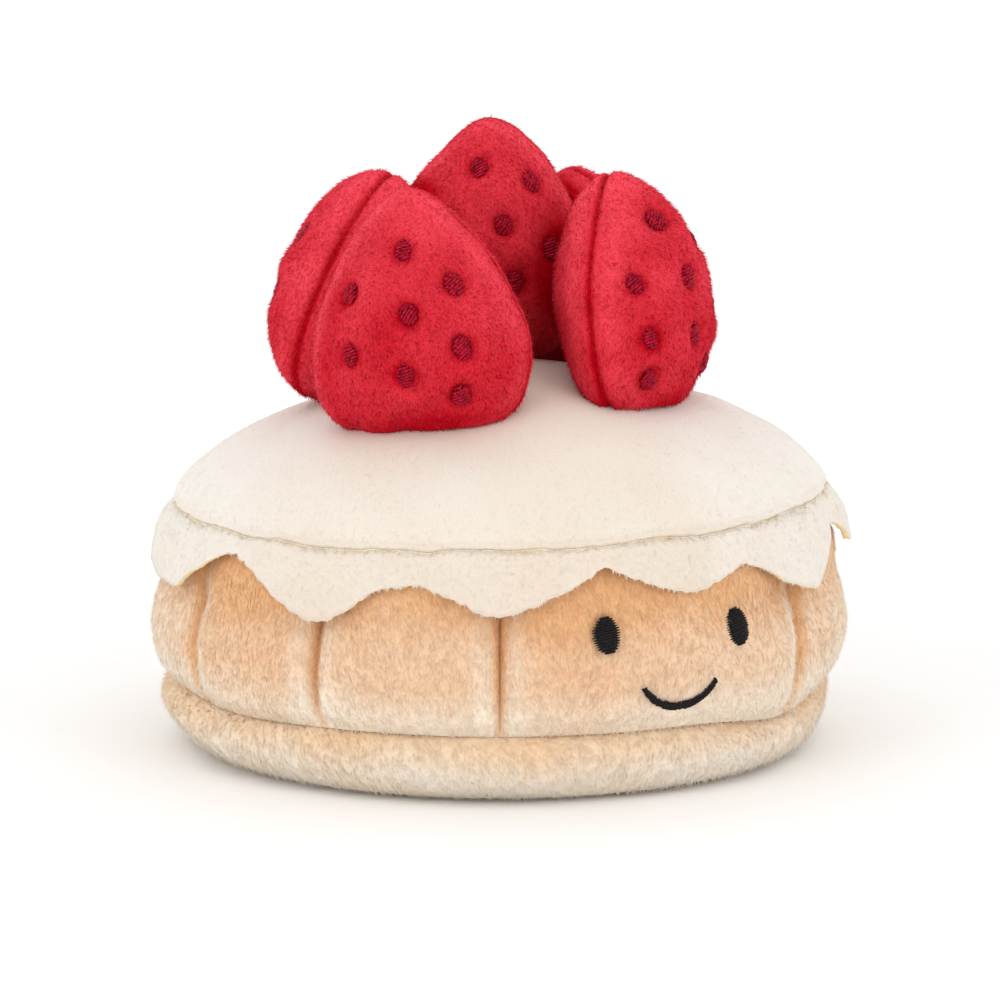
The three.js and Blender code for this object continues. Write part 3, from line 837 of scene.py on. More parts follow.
# %% Places of the stitched face
stitched = [
    # azimuth in degrees, height, half width and half height of each stitched patch
    (17.4, 31.3, 2.7, 3.3),
    (42.0, 30.0, 2.7, 3.3),
]
smile_place = (30.0, 21.4)
smile_chord = 15.0
smile_sag = 4.0
smile_radius = ((smile_chord / 2.0) ** 2 + smile_sag**2) / (2.0 * smile_sag)
smile_reach = math.asin(smile_chord / 2.0 / smile_radius)
print("the smile is part of a circle of", round(smile_radius, 1), "mm")


def patch_place(points, azimuth, height):
    """Where points are on the crust, in mm across and up from a place on it."""
    across = (azimuth_of(points) - math.radians(azimuth)) * crust_radius
    rise = np.clip((points[:, 2] - lower_seam) / (upper_seam - lower_seam), 0.0, 1.0)
    return across, points[:, 2] - seam_slope * points[:, 0] * rise - height


def from_smile(points):
    """Distance from the middle of the smile's line, in mm."""
    across, up = patch_place(points, *smile_place)
    up = up - (smile_radius - smile_sag)
    turn = np.clip(np.arctan2(across, -up), -smile_reach, smile_reach)
    return np.hypot(across - smile_radius * np.sin(turn), up + smile_radius * np.cos(turn))


# %% Crust pile
def on_crust(points, normals):
    """No pile on the flat faces inside the seams, nor under the stitched face."""
    clear = radius_of(points) > pile_start
    clear &= from_seam(azimuth_of(points)) > 0.012
    for azimuth, height, wide, tall in stitched:
        across, up = patch_place(points, azimuth, height)
        clear &= np.hypot(across / wide, up / tall) > 0.97
    clear &= from_smile(points) > 0.75
    hem_here = hem_height(azimuth_of(points)) + seam_slope * points[:, 0]
    return clear * np.where(points[:, 2] > hem_here + 2.0, 0.08, 1.0)


grow_pile(crust, "crust_pile", pile_material("crust_pile", "crust", 0.12),
          crust_nap_and_shade, seed=33, tufts=48000, keep=on_crust, towards=(0.15, 0.0, -1.0), stray=0.4,
          swirl_size=24.0, length=1.4, width=0.21, lean=70.0, uneven=0.12)

# %% [markdown]
# The icing top is one round of cream plush over a full stuffing, so it domes up and rolls over
# at its seam. A cloth simulation with pressure could puff it up, but a formula for its height
# gives the same crown at once, and its seam can waver and pinch where it should.

# %% Icing crown
icing_floor = upper_seam + clearance / 2.0


def icing_height(radius):
    share = np.clip(radius / icing_radius, 0.0, 1.0)
    rise = (1.0 - share**1.3) ** 0.604
    return icing_floor + 1.0 + (icing_rise - 1.0) * rise


def above_icing(points):
    """How far points are above the crown of the icing, in mm."""
    return points[..., 2] - icing_height(radius_of(points)) - seam_slope * points[..., 0]


crown = icing_radius * np.cos(np.linspace(0.0, math.pi / 2.0, 48)) ** 0.8
crown[-1] = 0.0
icing_outline = (
    [(r, icing_floor - 0.2) for r in np.linspace(0.0, upper_seam_radius - 0.2, 6)]
    + [(59.3, 46.4), (59.8, 46.7), (59.95, 47.2)]
    + [(r, float(icing_height(r))) for r in crown[1:]])
dents = [
    # azimuth in degrees, height, reach round and up, and depth of each dent, all in mm
    (66.0, 50.0, 3.2, 3.5, 1.4), (75.0, 49.0, 2.0, 3.0, 0.8), (-57.0, 51.0, 2.2, 4.5, 0.9),
    (-70.0, 49.0, 3.0, 3.0, 0.8), (-46.0, 50.0, 1.8, 5.0, 0.55), (-36.0, 49.5, 1.6, 4.0, 0.4),
    (57.0, 49.0, 1.6, 3.0, 0.9), (150.0, 50.0, 3.0, 3.5, 0.8), (230.0, 50.5, 2.6, 4.0, 0.7),
]
print("the icing rises to", round(float(icing_height(0.0)), 1), "mm")

# %% Icing top
icing_cloth = cloth_material("icing_cloth", "icing", (1.0, 0.5, 1.0), 0.05)
azimuths, radius, height = turned_outline(icing_outline, 480)
ring = ring_points(azimuths, icing_radius)
seam_waver = (0.42 * waves(ring, 17.0, 71) + 0.16 * waves(ring, 5.0, 72))[:, None]
grid = place(azimuths, radius, height)
swell = 0.5 * waves(grid, 40.0, 41) + 0.12 * waves(grid, 12.0, 42)
swell_share = ease((radius - 5.0) / 20.0) * ease((height - icing_floor) / 4.0)
stitches = np.cos(azimuths * 66 + 2.0 * np.sin(azimuths * 5))
seam_share = ease((radius - 50.0) / 9.0) * ease((height - icing_floor) / 1.0)
roll = 0.3 * np.exp(-(((height - 48.4) / 1.8) ** 2)) * ease((radius - 50.0) / 9.0)
waver_share = ease((radius - 54.0) / 4.0) * (1.0 - ease((height - 46.5) / 4.0))
dented = 0.0 * radius
for at, level, reach_round, reach_up, depth in dents:
    apart = np.radians(around_front(azimuths - math.radians(at))) * icing_radius / reach_round
    dented = dented + depth * np.exp(-(apart**2) - ((height - level) / reach_up) ** 2)
grid = place(azimuths, radius + seam_share * (0.22 * stitches - dented) + roll,
             height + swell_share * swell + waver_share * seam_waver)
icing = skin_piece("icing_top_cloth", grid, [icing_cloth], "icing_top")


def icing_nap_and_shade(points):
    """Paler towards the sides, and deeper down at the seam, as painted shade under the rolled rim.
    """
    level = points[:, 2] - seam_slope * points[:, 0]
    turned = np.abs(around_front(azimuth_of(points)))
    side = ease((turned - 25.0) / 40.0) * ease((radius_of(points) - 20.0) / 20.0)
    # the last term is painted shade down at the seam
    return (0.4 + 0.4 * side + 0.14 * waves(points, 24.0, 46)
            - 0.3 * (1.0 - ease((level - 46.2) / 3.0)))


set_nap_and_shade(icing, icing_nap_and_shade)

# %% [markdown]
# The icing's pile is shorter than the crust's, and it is brushed so flat that the cream plush
# looks almost smooth. Tufts that stand up would throw grey specks of shadow on such a pale
# cloth, so these lie at 87 degrees, outwards and down to the seam.

# %% Icing pile
icing_pile = pile_material("icing_pile", "icing", 0.0)


def on_icing(points, normals):
    """Only a few tufts in the middle, which the berries cover."""
    outside = points[:, 2] - seam_slope * points[:, 0] > icing_floor
    return outside * np.where(radius_of(points) < 18.0, 0.1, 1.0)


grow_pile(icing, "icing_top_pile", icing_pile, icing_nap_and_shade, seed=43, tufts=17000,
          keep=on_icing, towards=lambda roots: unit(roots * [1.0, 1.0, 0.0]) + [0.0, -0.6, -0.4],
          stray=0.6, swirl_size=40.0, length=0.9, width=0.24, lean=87.0, uneven=0.03)

# %% [markdown]
# The drip flap is a single layer of plush, sewn into the upper seam and cut in scallops. It lies
# on the crust and lifts a little at some of its scallops, where the pale backing shows. It could
# be draped by simulation, but then its scallops would land where they like. Here a formula lays
# the cloth, and the grid is folded back at the hem to give it a thickness and an inner side.

# %% Shape of the flap
plush["backing"] = ((colour(236, 206, 148), colour(246, 222, 172)),
                    (colour(240, 214, 160), colour(250, 232, 190)))
backing = cloth_material("flap_backing", "backing", (1.0, 1.0, 1.0), 0.1, 0.4)
lifts = [
    # azimuth in degrees, reach in degrees, and how far the hem stands off, in mm
    (-59.0, 7.0, 1.3), (-34.0, 5.0, 0.4), (10.0, 6.0, 0.7), (56.0, 7.0, 0.9), (82.0, 6.0, 0.6),
    (128.0, 9.0, 1.0), (205.0, 9.0, 0.8), (248.0, 8.0, 1.1),
]
print("the hem lifts at", len(lifts), "places")


def hem_lift(azimuth):
    return sum(off * np.exp(-((around_front(azimuth - math.radians(at)) / reach) ** 2))
               for at, reach, off in lifts)


def flap_surface(azimuth, height, down):
    """The radius of the flap's outer side. Down is 0 at the seam and 1 at the hem."""
    drop = np.maximum(upper_seam - height, 0.0)
    start = upper_seam_radius + 1.5
    radius = start + (flap_radius - start) * (1.0 - np.exp(-drop / 3.8))
    return radius + hem_lift(azimuth) * np.clip(down, 0.0, 1.0) ** 2


def waver_at(azimuths):
    """How far the upper seam is above or below its own line."""
    known = np.linspace(0.0, 2.0 * math.pi, len(seam_waver) + 1)
    return np.interp(azimuths, known, np.append(seam_waver, seam_waver[0]))


# %% Drip flap
azimuths = np.linspace(0.0, 2.0 * math.pi, 1080, endpoint=False)[:, None]
rows = 12
down = np.concatenate([np.linspace(0.0, 1.0, rows), np.linspace(1.0, 0.0, rows)])[None, :]
inner_side = np.concatenate([np.ones(rows), np.zeros(rows)])[None, :]
ring = ring_points(azimuths, flap_radius)
ragged = 0.22 * waves(ring, 1.6, 51)[:, None] + 0.15 * waves(ring, 5.0, 52)[:, None]
top = upper_seam + 0.1
heights = top + (hem_height(azimuths) + ragged - top) * down
radii = flap_surface(azimuths, heights, down) - flap_thickness * inner_side
grid = place(azimuths, radii, heights)
ripple = 0.38 * waves(ring, 13.0, 53)[:, None] + 0.15 * waves(grid, 9.0, 58)
grid = place(azimuths, radii + ripple * ease(down / 0.5),
             heights + waver_at(azimuths) * (1.0 - ease(down / 0.45)))
flap = skin_piece("icing_drip_cloth", grid, [icing_cloth, backing], "icing_drip",
                  loop=True)
middles = np.array([face.center for face in flap.data.polygons]) / MM
facing = np.array([face.normal for face in flap.data.polygons])
is_backing = (facing_out(middles, facing) < 0.25) & (facing[:, 2] < 0.5)
flap.data.polygons.foreach_set("material_index", is_backing.astype(np.int32))


def flap_nap(points):
    """Paler towards the sides."""
    turned = np.abs(around_front(azimuth_of(points)))
    return 0.2 + 0.4 * ease((turned - 25.0) / 30.0) + 0.14 * waves(points, 18.0, 57)


set_nap_and_shade(flap, flap_nap)

# %% [markdown]
# The flap's pile is the icing's, stroked straight down, and only on its outer side. The tufts at
# the hem reach a little past it, as cut plush does, and blur its edge.

# %% Flap pile
def on_flap(points, normals):
    return (facing_out(points, normals) > 0.25) * 1.0


grow_pile(flap, "icing_drip_pile", icing_pile, flap_nap, seed=54, tufts=14000,
          keep=on_flap, towards=(0.0, 0.0, -1.0), stray=0.5, swirl_size=20.0,
          length=0.95, width=0.24, lean=87.5, uneven=0.02)

# %% [markdown]
# The upper seam. Where icing and flap are sewn together, a thin line of the tan backing shows
# between the two piles, with a few loose ends. A curve with a bevel could be the line. A thin
# tube from our own grid can waver with the seam, and some short tufts on it are the loose ends.

# %% Upper seam
plush["seam"] = ((colour(236, 214, 172), colour(238, 219, 184)),
                 (colour(236, 224, 202), colour(238, 230, 215)))
turns = np.linspace(0.0, 2.0 * math.pi, 900, endpoint=False)[:, None]
around = np.linspace(0.0, 2.0 * math.pi, 5, endpoint=False)[None, :]
ring = ring_points(turns, icing_radius)
thick = 0.2 + 0.05 * waves(ring, 4.0, 74)[:, None]
cord_radius = 59.78 + 0.08 * waves(ring, 3.0, 75)[:, None]
cord_height = 46.4 + waver_at(turns)
grid = place(turns + 0.0 * around, cord_radius + thick * np.cos(around),
             cord_height + thick * np.sin(around))
seam_cloth = cloth_material("seam_backing", "seam", (1.0, 1.0, 1.0), 0.0, 0.4)
cord = skin_piece("upper_seam_cord", grid, [seam_cloth], None, loop=True)


def cord_nap(points):
    return 0.5 + 0.4 * waves(points, 6.0, 76)


def on_cord(points, normals):
    return (facing_out(points, normals) > 0.3) * 1.0


set_nap_and_shade(cord, cord_nap)
grow_pile(cord, "upper_seam_tufts", pile_material("seam_pile", "seam", 0.0),
          cord_nap, seed=77, tufts=4600, keep=on_cord, towards=(0.0, 0.0, -1.0), stray=1.6,
          swirl_size=2.0, length=1.1, width=0.22, lean=84.0, uneven=0.08)

# %% [markdown]
# The strawberries. Each is two plush faces sewn together round their edge and stuffed. They could
# be sculpted one by one. Here they share a few sizes, because they were cut from one pattern, and
# each has its own place, the way it faces, and how far it leans back.

# %% Strawberry sizes
berry_sizes = {
    "wide": 40.2, "tall": 46.0, "front": 15.0, "back": 13.0, "heavy": 0.15, "roll": 0.0,
    "folds": [(2.7, 0.08, 1.0), (3.7, 0.08, 1.2), (1.5, 0.07, 0.6), (5.0, 0.07, 0.6)]}
hidden_seeds = [(-1.0, 14.0), (8.0, 8.0), (-7.0, 5.0), (2.0, 1.0),
                (12.0, -3.0), (-10.5, -7.0), (3.0, -9.5), (-3.0, -17.0)]
berries = {
    "strawberry_front_left": {
        "at": (-14.7, -23.2, 83.0), "facing": -12.0, "lean": 4.0, "roll": -6.0,
        "wide": 41.0, "tall": 48.0,
        "folds": [(3.22, 0.07, 1.3), (3.61, 0.09, 1.5), (2.5, 0.08, 0.8)],
        "seeds": [(0.7, 13.0), (9.9, 6.2), (1.3, 1.2), (-10.8, 5.7),
                  (10.8, -5.5), (-10.9, -5.6), (-0.3, -10.0), (9.3, -15.0)],
    },
    "strawberry_back_left": {
        "at": (-25.6, 8.0, 83.4), "facing": -118.0, "lean": 16.0, "heavy": -0.02,
        "seeds": hidden_seeds,
    },
    "strawberry_middle": {
        "at": (-2.2, 14.0, 91.5), "facing": 0.0, "lean": 4.0,
        "wide": 41.8, "tall": 47.0, "heavy": 0.1,
        "seeds": [(-1.9, 14.4), (8.7, 11.6), (3.1, 3.6), (-7.5, 4.0),
                  (5.0, -7.4), (12.6, -0.8), (-5.0, -8.5)],
    },
    "strawberry_back_right": {
        "at": (15.8, 28.0, 82.4), "facing": 150.0, "lean": 12.0,
        "wide": 38.4, "tall": 44.0, "heavy": 0.05,
        "seeds": hidden_seeds,
    },
    "strawberry_right": {
        "at": (23.3, -5.0, 83.2), "facing": 67.0, "lean": 10.0, "roll": 3.0,
        "front": 15.5, "tall": 48.0, "heavy": -0.06,
        "seeds": [(-5.2, 14.4), (4.5, 9.5), (-14.5, 3.3), (-3.4, 2.7), (-14.6, -7.3),
                  (-1.9, -8.1), (9.5, -3.5), (-13.6, -15.2), (7.5, -14.5)],
    },
}
print("there are", len(berries), "strawberries")

# %% [markdown]
# The shape of a strawberry. The outline is a rounded triangle, each face swells up from the
# seam, and a berry is deeper below its middle. A cut and sewn pattern could be simulated, but
# short formulas give the same form and tell us where its surface is, which the seeds need. All
# of it is worked out in the berry's own axes, and then turned into the toy's frame.

# %% Strawberry shape
def berry_edge(turn, berry):
    """The seam's outline. Turn 0 is the tip, and half a turn is the middle of the base."""
    side, up = np.sin(turn), np.cos(turn)
    full = np.sign(side) * np.abs(side) ** np.where(up < 0.0, 0.78, 1.1)
    return berry["wide"] / 2.0 * 0.94 * full * (1.0 - 0.36 * up), berry["tall"] / 2.0 * up


def berry_fullness(share):
    return (1.0 - np.clip(share, 0.0, 1.0) ** 2.3) ** 0.6


def berry_weight(berry, up):
    """A berry is deeper below its middle than above it."""
    return 1.0 - berry["heavy"] * up / (berry["tall"] / 2.0)


def berry_frame(berry):
    """The berry's axes as rows: across, up and outward, in the toy's frame."""
    yaw = math.radians(berry["facing"])
    basis = Matrix(((math.cos(yaw), 0.0, math.sin(yaw)),
                    (math.sin(yaw), 0.0, -math.cos(yaw)),
                    (0.0, 1.0, 0.0)))
    basis = basis @ Matrix.Rotation(-math.radians(berry["lean"]), 3, "X")
    basis = basis @ Matrix.Rotation(-math.radians(berry["roll"]), 3, "Z")
    return np.array(basis).T


def in_berry(points, berry):
    """Points of the toy in the berry's own axes."""
    return (points - np.array(berry["at"])) @ berry["axes"].T


def on_toy(local, berry):
    """Points in the berry's own axes as points of the toy."""
    return local @ berry["axes"] + np.array(berry["at"])


def edge_share(berry, across, up):
    """How far a point of the seam's plane is from the middle, as a share of the way to the edge."""
    turn = np.linspace(0.0, 2.0 * math.pi, 721)
    edge_across, edge_up = berry_edge(turn, berry)
    angle = np.unwrap(np.arctan2(edge_across, edge_up))
    want = np.arctan2(across, up) % (2.0 * math.pi)
    return np.hypot(across, up) / np.interp(want, angle, np.hypot(edge_across, edge_up))


def face_height(berry, across, up):
    """How far the outer face stands off the seam's plane."""
    return berry["front"] * berry_fullness(edge_share(berry, across, up)) * berry_weight(berry, up)


# %% [markdown]
# Berries that touch. Stuffed berries flatten each other where they meet. A simulation could press
# them together, but it is enough to know how far a berry's surface is from its middle in every
# direction: points of its neighbour that are nearer than that are moved out to it.

# %% Room between berries
def surface_reach(berry, ways):
    """How far a berry's surface is from its middle, along directions in its own axes."""
    low, high = np.zeros(len(ways)), np.full(len(ways), 40.0)
    for _ in range(14):  # halving 40 mm this often leaves less than 0.01 mm
        tried = (low + high) / 2.0
        q = ways * tried[:, None]
        share = edge_share(berry, q[:, 0], q[:, 1])
        depth = np.where(q[:, 2] > 0.0, berry["front"], berry["back"])
        is_in = (share < 1.0) & (
            np.abs(q[:, 2]) < depth * berry_fullness(share) * berry_weight(berry, q[:, 1]))
        low, high = np.where(is_in, tried, low), np.where(is_in, high, tried)
    return low


def push_out(points, berry, gap):
    """Moves points that are inside a berry out through its surface, away from its middle."""
    local = in_berry(points, berry)
    reach = np.linalg.norm(local, axis=-1)
    near = np.nonzero(reach < 32.0)
    ways = unit(local[near])
    wanted = np.maximum(reach[near], surface_reach(berry, ways) + gap)
    moved = points.copy()
    moved[near] = on_toy(ways * wanted[:, None], berry)
    return moved


def gap_to(points, berry):
    """Roughly how far points are outside a berry, in mm, and 20 where they are far from it."""
    local = in_berry(points, berry)
    reach = np.linalg.norm(local, axis=-1)
    near = np.nonzero(reach < 34.0)
    gap = np.full(len(points), 20.0)
    gap[near] = np.maximum(reach[near] - surface_reach(berry, unit(local[near])), 0.0)
    return gap


# %% [markdown]
# Every seed is stitched right through the plush and pulls it down into a small dimple. So each
# seed needs a little frame of its own on the berry: its middle, two directions along the cloth
# and one straight out. The dimple, the bare patch and the stitches all use it. Without such a
# frame the three would have to be placed by hand, and would drift apart.

# %% Frames for the seeds
def seed_frames(berry):
    step = 0.3
    frames = []
    for across, up in berry["seeds"]:
        here = face_height(berry, across, up)
        slope_across = (face_height(berry, across + step, up) - here) / step
        slope_up = (face_height(berry, across, up + step) - here) / step
        out = unit(np.array([-slope_across, -slope_up, 1.0]))
        above = unit(np.array([0.0, 1.0, 0.0]) - out[1] * out)
        beside = np.cross(above, out)
        middle = np.array([across, up, here]) - pile_depth * out
        ways = (way @ berry["axes"] for way in (beside, above, out))
        frames.append((on_toy(middle, berry), *ways))
    return frames


for berry in berries.values():
    berry.update({key: size for key, size in berry_sizes.items() if key not in berry})
    berry["axes"] = berry_frame(berry)
    berry["frames"] = seed_frames(berry)
print("seeds on each berry:", [len(berry["frames"]) for berry in berries.values()])

# %% [markdown]
# The strawberries' skins. A berry's grid runs round its outline and from the back face over the
# seam to the front face. The seam draws it in all round, a few stitches pinch small folds, and
# every seed presses its dimple. Then the berry is moved out of its neighbours and the icing.

# %% Strawberry skins
berry_cloth = cloth_material("berry_cloth", "berry", (1.0, 1.0, 0.6), 0.1, 0.28)
seed_dent = 1.2
seed_wide, seed_tall = 3.5, 4.5


def berry_grid(berry, seed):
    turns = np.linspace(0.0, 2.0 * math.pi, 160, endpoint=False)[:, None]
    rings = np.sin(np.linspace(0.0, math.pi / 2.0, 36))[None, :-1]
    shares = np.concatenate([rings, [[0.99]], rings[:, ::-1]], axis=1)
    side = np.concatenate([-np.ones(35), [0.0], np.ones(35)])[None, :]
    edge_across, edge_up = berry_edge(turns, berry)
    across, up = shares * edge_across, shares * edge_up
    depth = np.where(side > 0.0, berry["front"], berry["back"]) * berry_weight(berry, up)
    off = side * depth * berry_fullness(shares)

    # The seam pulls in all round, and more at some of its stitches, which pinch small folds.
    near_edge = ease((shares - 0.5) / 0.4)
    crease = np.exp(-((off / 0.9) ** 2)) * (0.07 + 0.012 * np.cos(turns * 64))
    folds = 0.0 * turns
    for at, wide, amount in berry["folds"]:
        apart = (turns - at + math.pi) % (2.0 * math.pi) - math.pi
        folds = folds + amount * np.exp(-((apart / wide) ** 2))
    pulled = 1.0 - near_edge * (crease + 0.012 * folds)
    off = off * (1.0 - near_edge * folds * np.exp(-((off / 9.0) ** 2)) / 7.0)
    local = np.stack([across * pulled, up * pulled, off + 0.0 * turns], -1)
    points = on_toy(local, berry)
    outwards = unit(local / [berry["wide"], berry["tall"], 20.0]) @ berry["axes"]
    lumps = 0.42 * waves(points, 22.0, seed) + 0.12 * waves(points, 8.0, seed + 1)
    points = points + (lumps - pile_depth * ease(np.abs(off) / 2.0))[..., None] * outwards
    for middle, _, _, out in berry["frames"]:
        apart = np.linalg.norm(points - middle, axis=-1)
        points = points - (seed_dent * np.exp(-((apart / 2.9) ** 3)))[..., None] * out
    return points


def rest_on_icing(points, gap):
    """Lifts points that are inside the icing up to its crown."""
    points[..., 2] += np.maximum(gap - above_icing(points), 0.0)
    return points


def berry_nap_and_shade(berry, seed):
    """Painted highlight towards the tip and on the rims, painted shade at the base, in the seam,
    round each seed's dimple and in the narrow gaps next to berries further front.
    """
    def nap_and_shade_at(points):
        local = in_berry(points, berry)
        # painted highlight towards the tip and along the rims, painted shade in the seam
        high = local[:, 1] / (berry["tall"] / 2.0)
        seam = np.exp(-((local[:, 2] / 0.8) ** 2))
        rim_highlight = np.exp(-(((np.abs(local[:, 2]) - 3.5) / 2.5) ** 2))
        nap_and_shade = 0.42 + 0.22 * high + 0.38 * rim_highlight - 0.6 * seam + 0.16 * waves(points, 13.0, seed)
        # painted shade round each seed's dimple
        for middle, _, _, _ in berry["frames"]:
            apart = np.linalg.norm(points - middle, axis=-1)
            nap_and_shade = nap_and_shade - 0.55 * np.exp(-((apart / 2.6) ** 4))
        # painted shade in the narrow gaps next to berries further front
        for other in berries.values():
            if other["at"][1] < berry["at"][1]:
                nap_and_shade = nap_and_shade - 1.1 * np.exp(-((gap_to(points, other) / 3.2) ** 2))
        # painted shade where the berry sits on the icing
        return nap_and_shade - 0.28 * (1.0 - ease(above_icing(points) / 6.0))
    return nap_and_shade_at


made = []
berry_skins = {}
for number, (name, berry) in enumerate(berries.items()):
    grid = berry_grid(berry, 60 + 3 * number)
    for other in made:
        grid = push_out(grid, other, 0.6)
    grid = rest_on_icing(grid, 0.1)
    made.append(berry)
    skin = skin_piece(name + "_cloth", grid, [berry_cloth], name)
    set_nap_and_shade(skin, berry_nap_and_shade(berry, 100 + number))
    berry_skins[name] = skin

# %% [markdown]
# The strawberries' pile is short and stands up more than the rest, and looks grainy. Its pale edges
# are painted highlight, with a little of the shader's sheen. The seeds' threads lie bare, and so
# does the cloth under each berry.

# %% Strawberry pile
berry_pile = pile_material("berry_pile", "berry", 0.22)


def bare_of_seeds(berry):
    """No pile on the seeds or just above them, nor where the berry sits on the icing."""
    def keep(points, normals):
        clear = np.ones(len(points))
        for middle, beside, above, out in berry["frames"]:
            apart = points - middle
            patch = np.hypot(apart @ beside / 1.5, (apart @ above - 0.25) / 2.0)
            clear = np.where((patch < 1.0) & (np.abs(apart @ out) < 3.0), 0.0, clear)
        for other in berries.values():
            if other is not berry:
                clear = clear * np.where(gap_to(points, other) < 1.2, 0.15, 1.0)
        return np.where(above_icing(points) < 0.25, 0.0, clear)
    return keep


for number, (name, berry) in enumerate(berries.items()):
    grow_pile(berry_skins[name], name + "_pile", berry_pile,
              berry_nap_and_shade(berry, 100 + number), seed=80 + 4 * number,
              tufts=9000 if name == "strawberry_back_right" else 12000,
              keep=bare_of_seeds(berry), towards=(0.0, 0.0, -1.0), stray=0.9, swirl_size=18.0,
              length=0.95, width=0.23, lean=60.0, uneven=0.26)

# %% [markdown]
# Stitches. The seeds, the eyes and the smile are satin stitch: threads laid side by side. A bump
# texture could show threads on a flat patch, but it would stay flat at the edge. So each thread
# is a thin tube that arches over the cloth and dips in at both ends, and uneven ends give the
# stitching its ragged edge.

# %% Threads
def thread_material(name, dark, light, rough, shine):
    material, nodes, links, shader = new_material(name, rough)
    where = add_node(nodes, links, "ShaderNodeTexCoord")
    twist = add_node(nodes, links, "ShaderNodeTexNoise", inputs={
        "Vector": where.outputs["Object"], "Scale": 2600.0, "Detail": 3.0})
    ramp = add_node(nodes, links, "ShaderNodeValToRGB", inputs={"Fac": twist.outputs["Fac"]})
    ramp.color_ramp.elements[0].position = 0.38
    ramp.color_ramp.elements[0].color = dark
    ramp.color_ramp.elements[1].position = 0.62
    ramp.color_ramp.elements[1].color = light
    links.new(ramp.outputs["Color"], shader.inputs["Base Color"])
    bump = add_node(nodes, links, "ShaderNodeBump", inputs={
        "Height": twist.outputs["Fac"], "Strength": 0.4, "Distance": 0.1 * MM})
    links.new(bump.outputs["Normal"], shader.inputs["Normal"])
    shader.inputs["Specular IOR Level"].default_value = shine
    return material


def thread_tubes(starts, ends, lay, width, arch, seed):
    """Points and faces of one tube for each thread. lay(across, up, off) puts a point on cloth."""
    random = np.random.default_rng(seed)
    along = np.linspace(0.0, 1.0, 7)
    turns = np.linspace(0.0, 2.0 * math.pi, 5, endpoint=False)
    points, faces = [], []
    for start, end in zip(starts, ends):
        line = start + (end - start) * along[:, None]
        way = unit(end - start)
        beside = np.array([-way[1], way[0]])
        thick = width / 2.0 * np.clip(np.sin(math.pi * along) * 4.0, 0.25, 1.0)
        height = arch * np.sin(math.pi * along) ** 0.6 * random.uniform(0.8, 1.15)
        flat = line[:, None] + (thick[:, None] * np.cos(turns))[..., None] * beside
        off = height[:, None] + thick[:, None] * np.sin(turns)
        first = len(points) * len(along) * len(turns)
        points.append(lay(flat[..., 0], flat[..., 1], off).reshape(-1, 3))
        index = first + np.arange(len(along) * len(turns)).reshape(len(along), len(turns))
        around = np.roll(index, -1, axis=1)
        sides = np.stack([index[:-1], around[:-1], around[1:], index[1:]], -1)
        faces += sides.reshape(-1, 4).tolist()
        faces += [index[0, ::-1].tolist(), index[-1].tolist()]
    return np.concatenate(points), faces


def oval_stitches(wide, tall, angle, spacing, ragged, seed):
    """Start and end of each thread that fills an oval, with the threads at an angle in degrees."""
    random = np.random.default_rng(seed)
    turn = math.radians(angle)
    way = np.array([math.cos(turn), math.sin(turn)])
    beside = np.array([-way[1], way[0]])
    half = np.array([wide, tall]) / 2.0
    reach = np.linalg.norm(half * beside)
    starts, ends = [], []
    for offset in np.arange(-reach + spacing / 2.0, reach, spacing):
        # The thread's line crosses the oval where a t^2 + b t + c is 0.
        a = ((way / half) ** 2).sum()
        b = 2.0 * (way * offset * beside / half**2).sum()
        c = ((offset * beside / half) ** 2).sum() - 1.0
        root = math.sqrt(max(b * b - 4.0 * a * c, 0.0))
        low = (-b - root) / (2.0 * a) - ragged * random.uniform(0.0, 1.0)
        high = (-b + root) / (2.0 * a) + ragged * random.uniform(0.0, 1.0)
        starts.append(offset * beside + low * way)
        ends.append(offset * beside + high * way)
    return np.array(starts), np.array(ends)


def stitched_piece(name, points, faces, material, node):
    mesh = bpy.data.meshes.new(name)
    mesh.from_pydata((points * MM).tolist(), [], faces)
    mesh.polygons.foreach_set("use_smooth", np.ones(len(mesh.polygons), bool))
    mesh.materials.append(material)
    return finish_piece(name, mesh, node)


# %% [markdown]
# The seeds are ovals of dark red thread, each sewn at its own angle. The stitches are laid flat
# first, across and up from the seed's middle, and its frame then bends them into the dimple.

# %% Seeds
seed_thread = thread_material("seed_thread", colour(92, 0, 16), colour(196, 20, 52), 0.5, 0.1)


def seed_layer(frame):
    """Lays points on a berry, given across and up from a seed's middle and off its cloth."""
    middle, beside, above, out = frame

    def lay(across, up, off):
        sunk = seed_dent - 0.3 + (across**2 + up**2) / 20.0
        return (middle + across[..., None] * beside + up[..., None] * above
                + (off - sunk)[..., None] * out)
    return lay


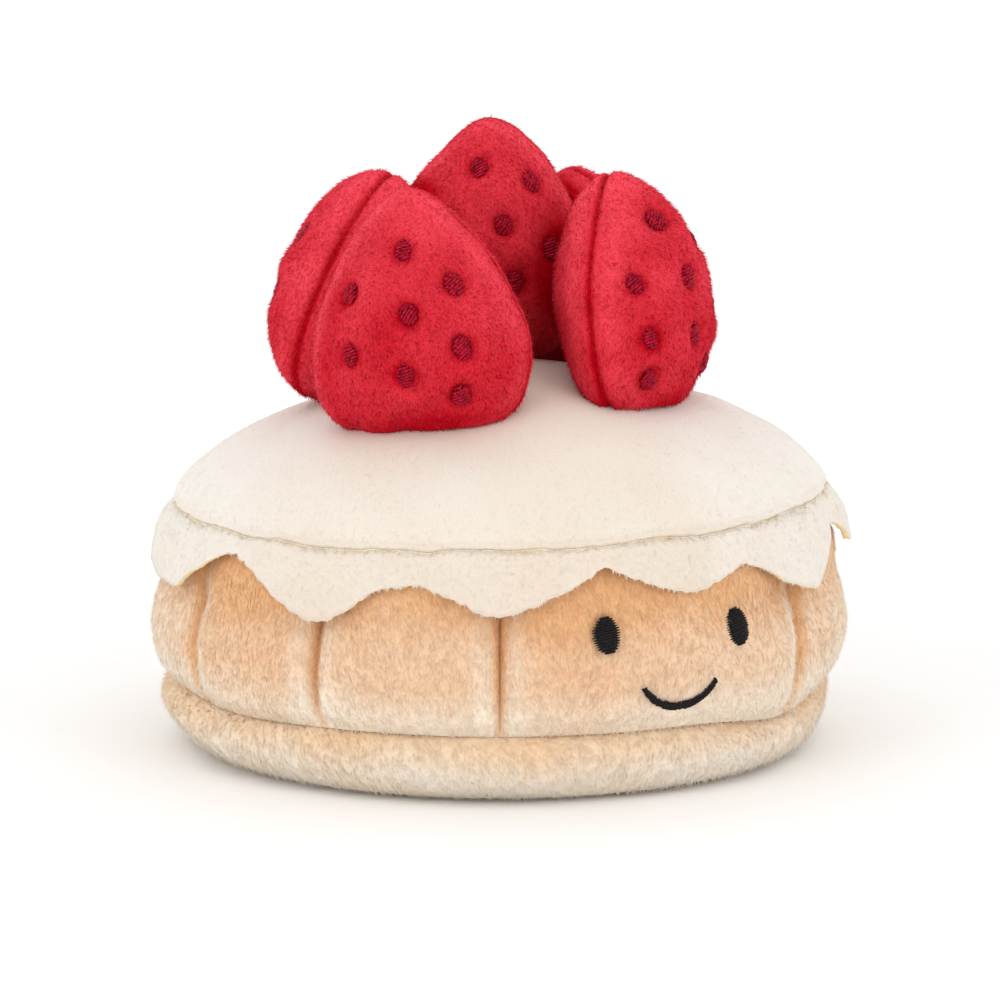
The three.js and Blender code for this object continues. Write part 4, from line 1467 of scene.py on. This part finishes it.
for number, (name, berry) in enumerate(berries.items()):
    all_points, all_faces, offset = [], [], 0
    for i, frame_here in enumerate(berry["frames"]):
        seed = 200 + 10 * number + i
        size = 0.92 + 0.08 * math.sin(3.7 * seed)
        starts, ends = oval_stitches(
            seed_wide * size, seed_tall * size, 35.0 + 25.0 * math.sin(seed), 0.56, 0.6, seed)
        points, faces = thread_tubes(starts, ends, seed_layer(frame_here), 0.64, 0.7, i)
        all_faces += [[corner + offset for corner in face] for face in faces]
        all_points.append(points)
        offset += len(points)
    stitched_piece(name + "_seeds", np.concatenate(all_points), all_faces, seed_thread, name)

# %% [markdown]
# The face is the plain smile of many toys: two oval eyes and an arc, in near-black thread. The
# stitches are laid flat in the same way, and the crust's own surface bends them round the pad.

# %% Smile and eyes
dark_thread = thread_material("dark_thread", colour(8, 6, 7), colour(34, 29, 30), 0.45, 0.15)


def crust_layer(azimuth, height):
    """Lays points on the crust, given across and up from a place on it."""
    def lay(across, up, off):
        turned = math.radians(azimuth) + across / crust_radius
        level = height + up
        radius = crust_surface(turned, level)
        ahead = (crust_surface(turned, level + 0.5) - crust_surface(turned, level - 0.5))
        steep = np.hypot(1.0, ahead)
        out = off - pile_depth + 0.3
        return place(turned, radius + out / steep, level - out * ahead / steep)
    return lay


for name, (azimuth, height, wide, tall) in zip(("eye_left", "eye_right"), stitched):
    starts, ends = oval_stitches(2 * wide - 0.3, 2 * tall - 0.3, 8.0, 0.42, 0.35, len(name))
    points, faces = thread_tubes(starts, ends, crust_layer(azimuth, height), 0.52, 0.4, 7)
    stitched_piece(name + "_stitches", points, faces, dark_thread, name)

turns = np.arange(-smile_reach, smile_reach, 0.4 / smile_radius)
middles = (smile_radius * np.stack([np.sin(turns), -np.cos(turns)], -1)
           + [0.0, smile_radius - smile_sag])
slant = np.stack([np.sin(turns - 0.35), -np.cos(turns - 0.35)], -1)
half_wide = 0.8 * (1.0 - 0.35 * (np.abs(turns) / smile_reach) ** 3)
uneven = np.random.default_rng(9).uniform(0.85, 1.2, (2, len(turns)))
starts = middles - slant * (half_wide * uneven[0])[:, None]
ends = middles + slant * (half_wide * uneven[1])[:, None]
points, faces = thread_tubes(starts, ends, crust_layer(*smile_place), 0.5, 0.4, 8)
stitched_piece("smile_stitches", points, faces, dark_thread, "smile")

# %% Update the scene
bpy.context.view_layer.update()
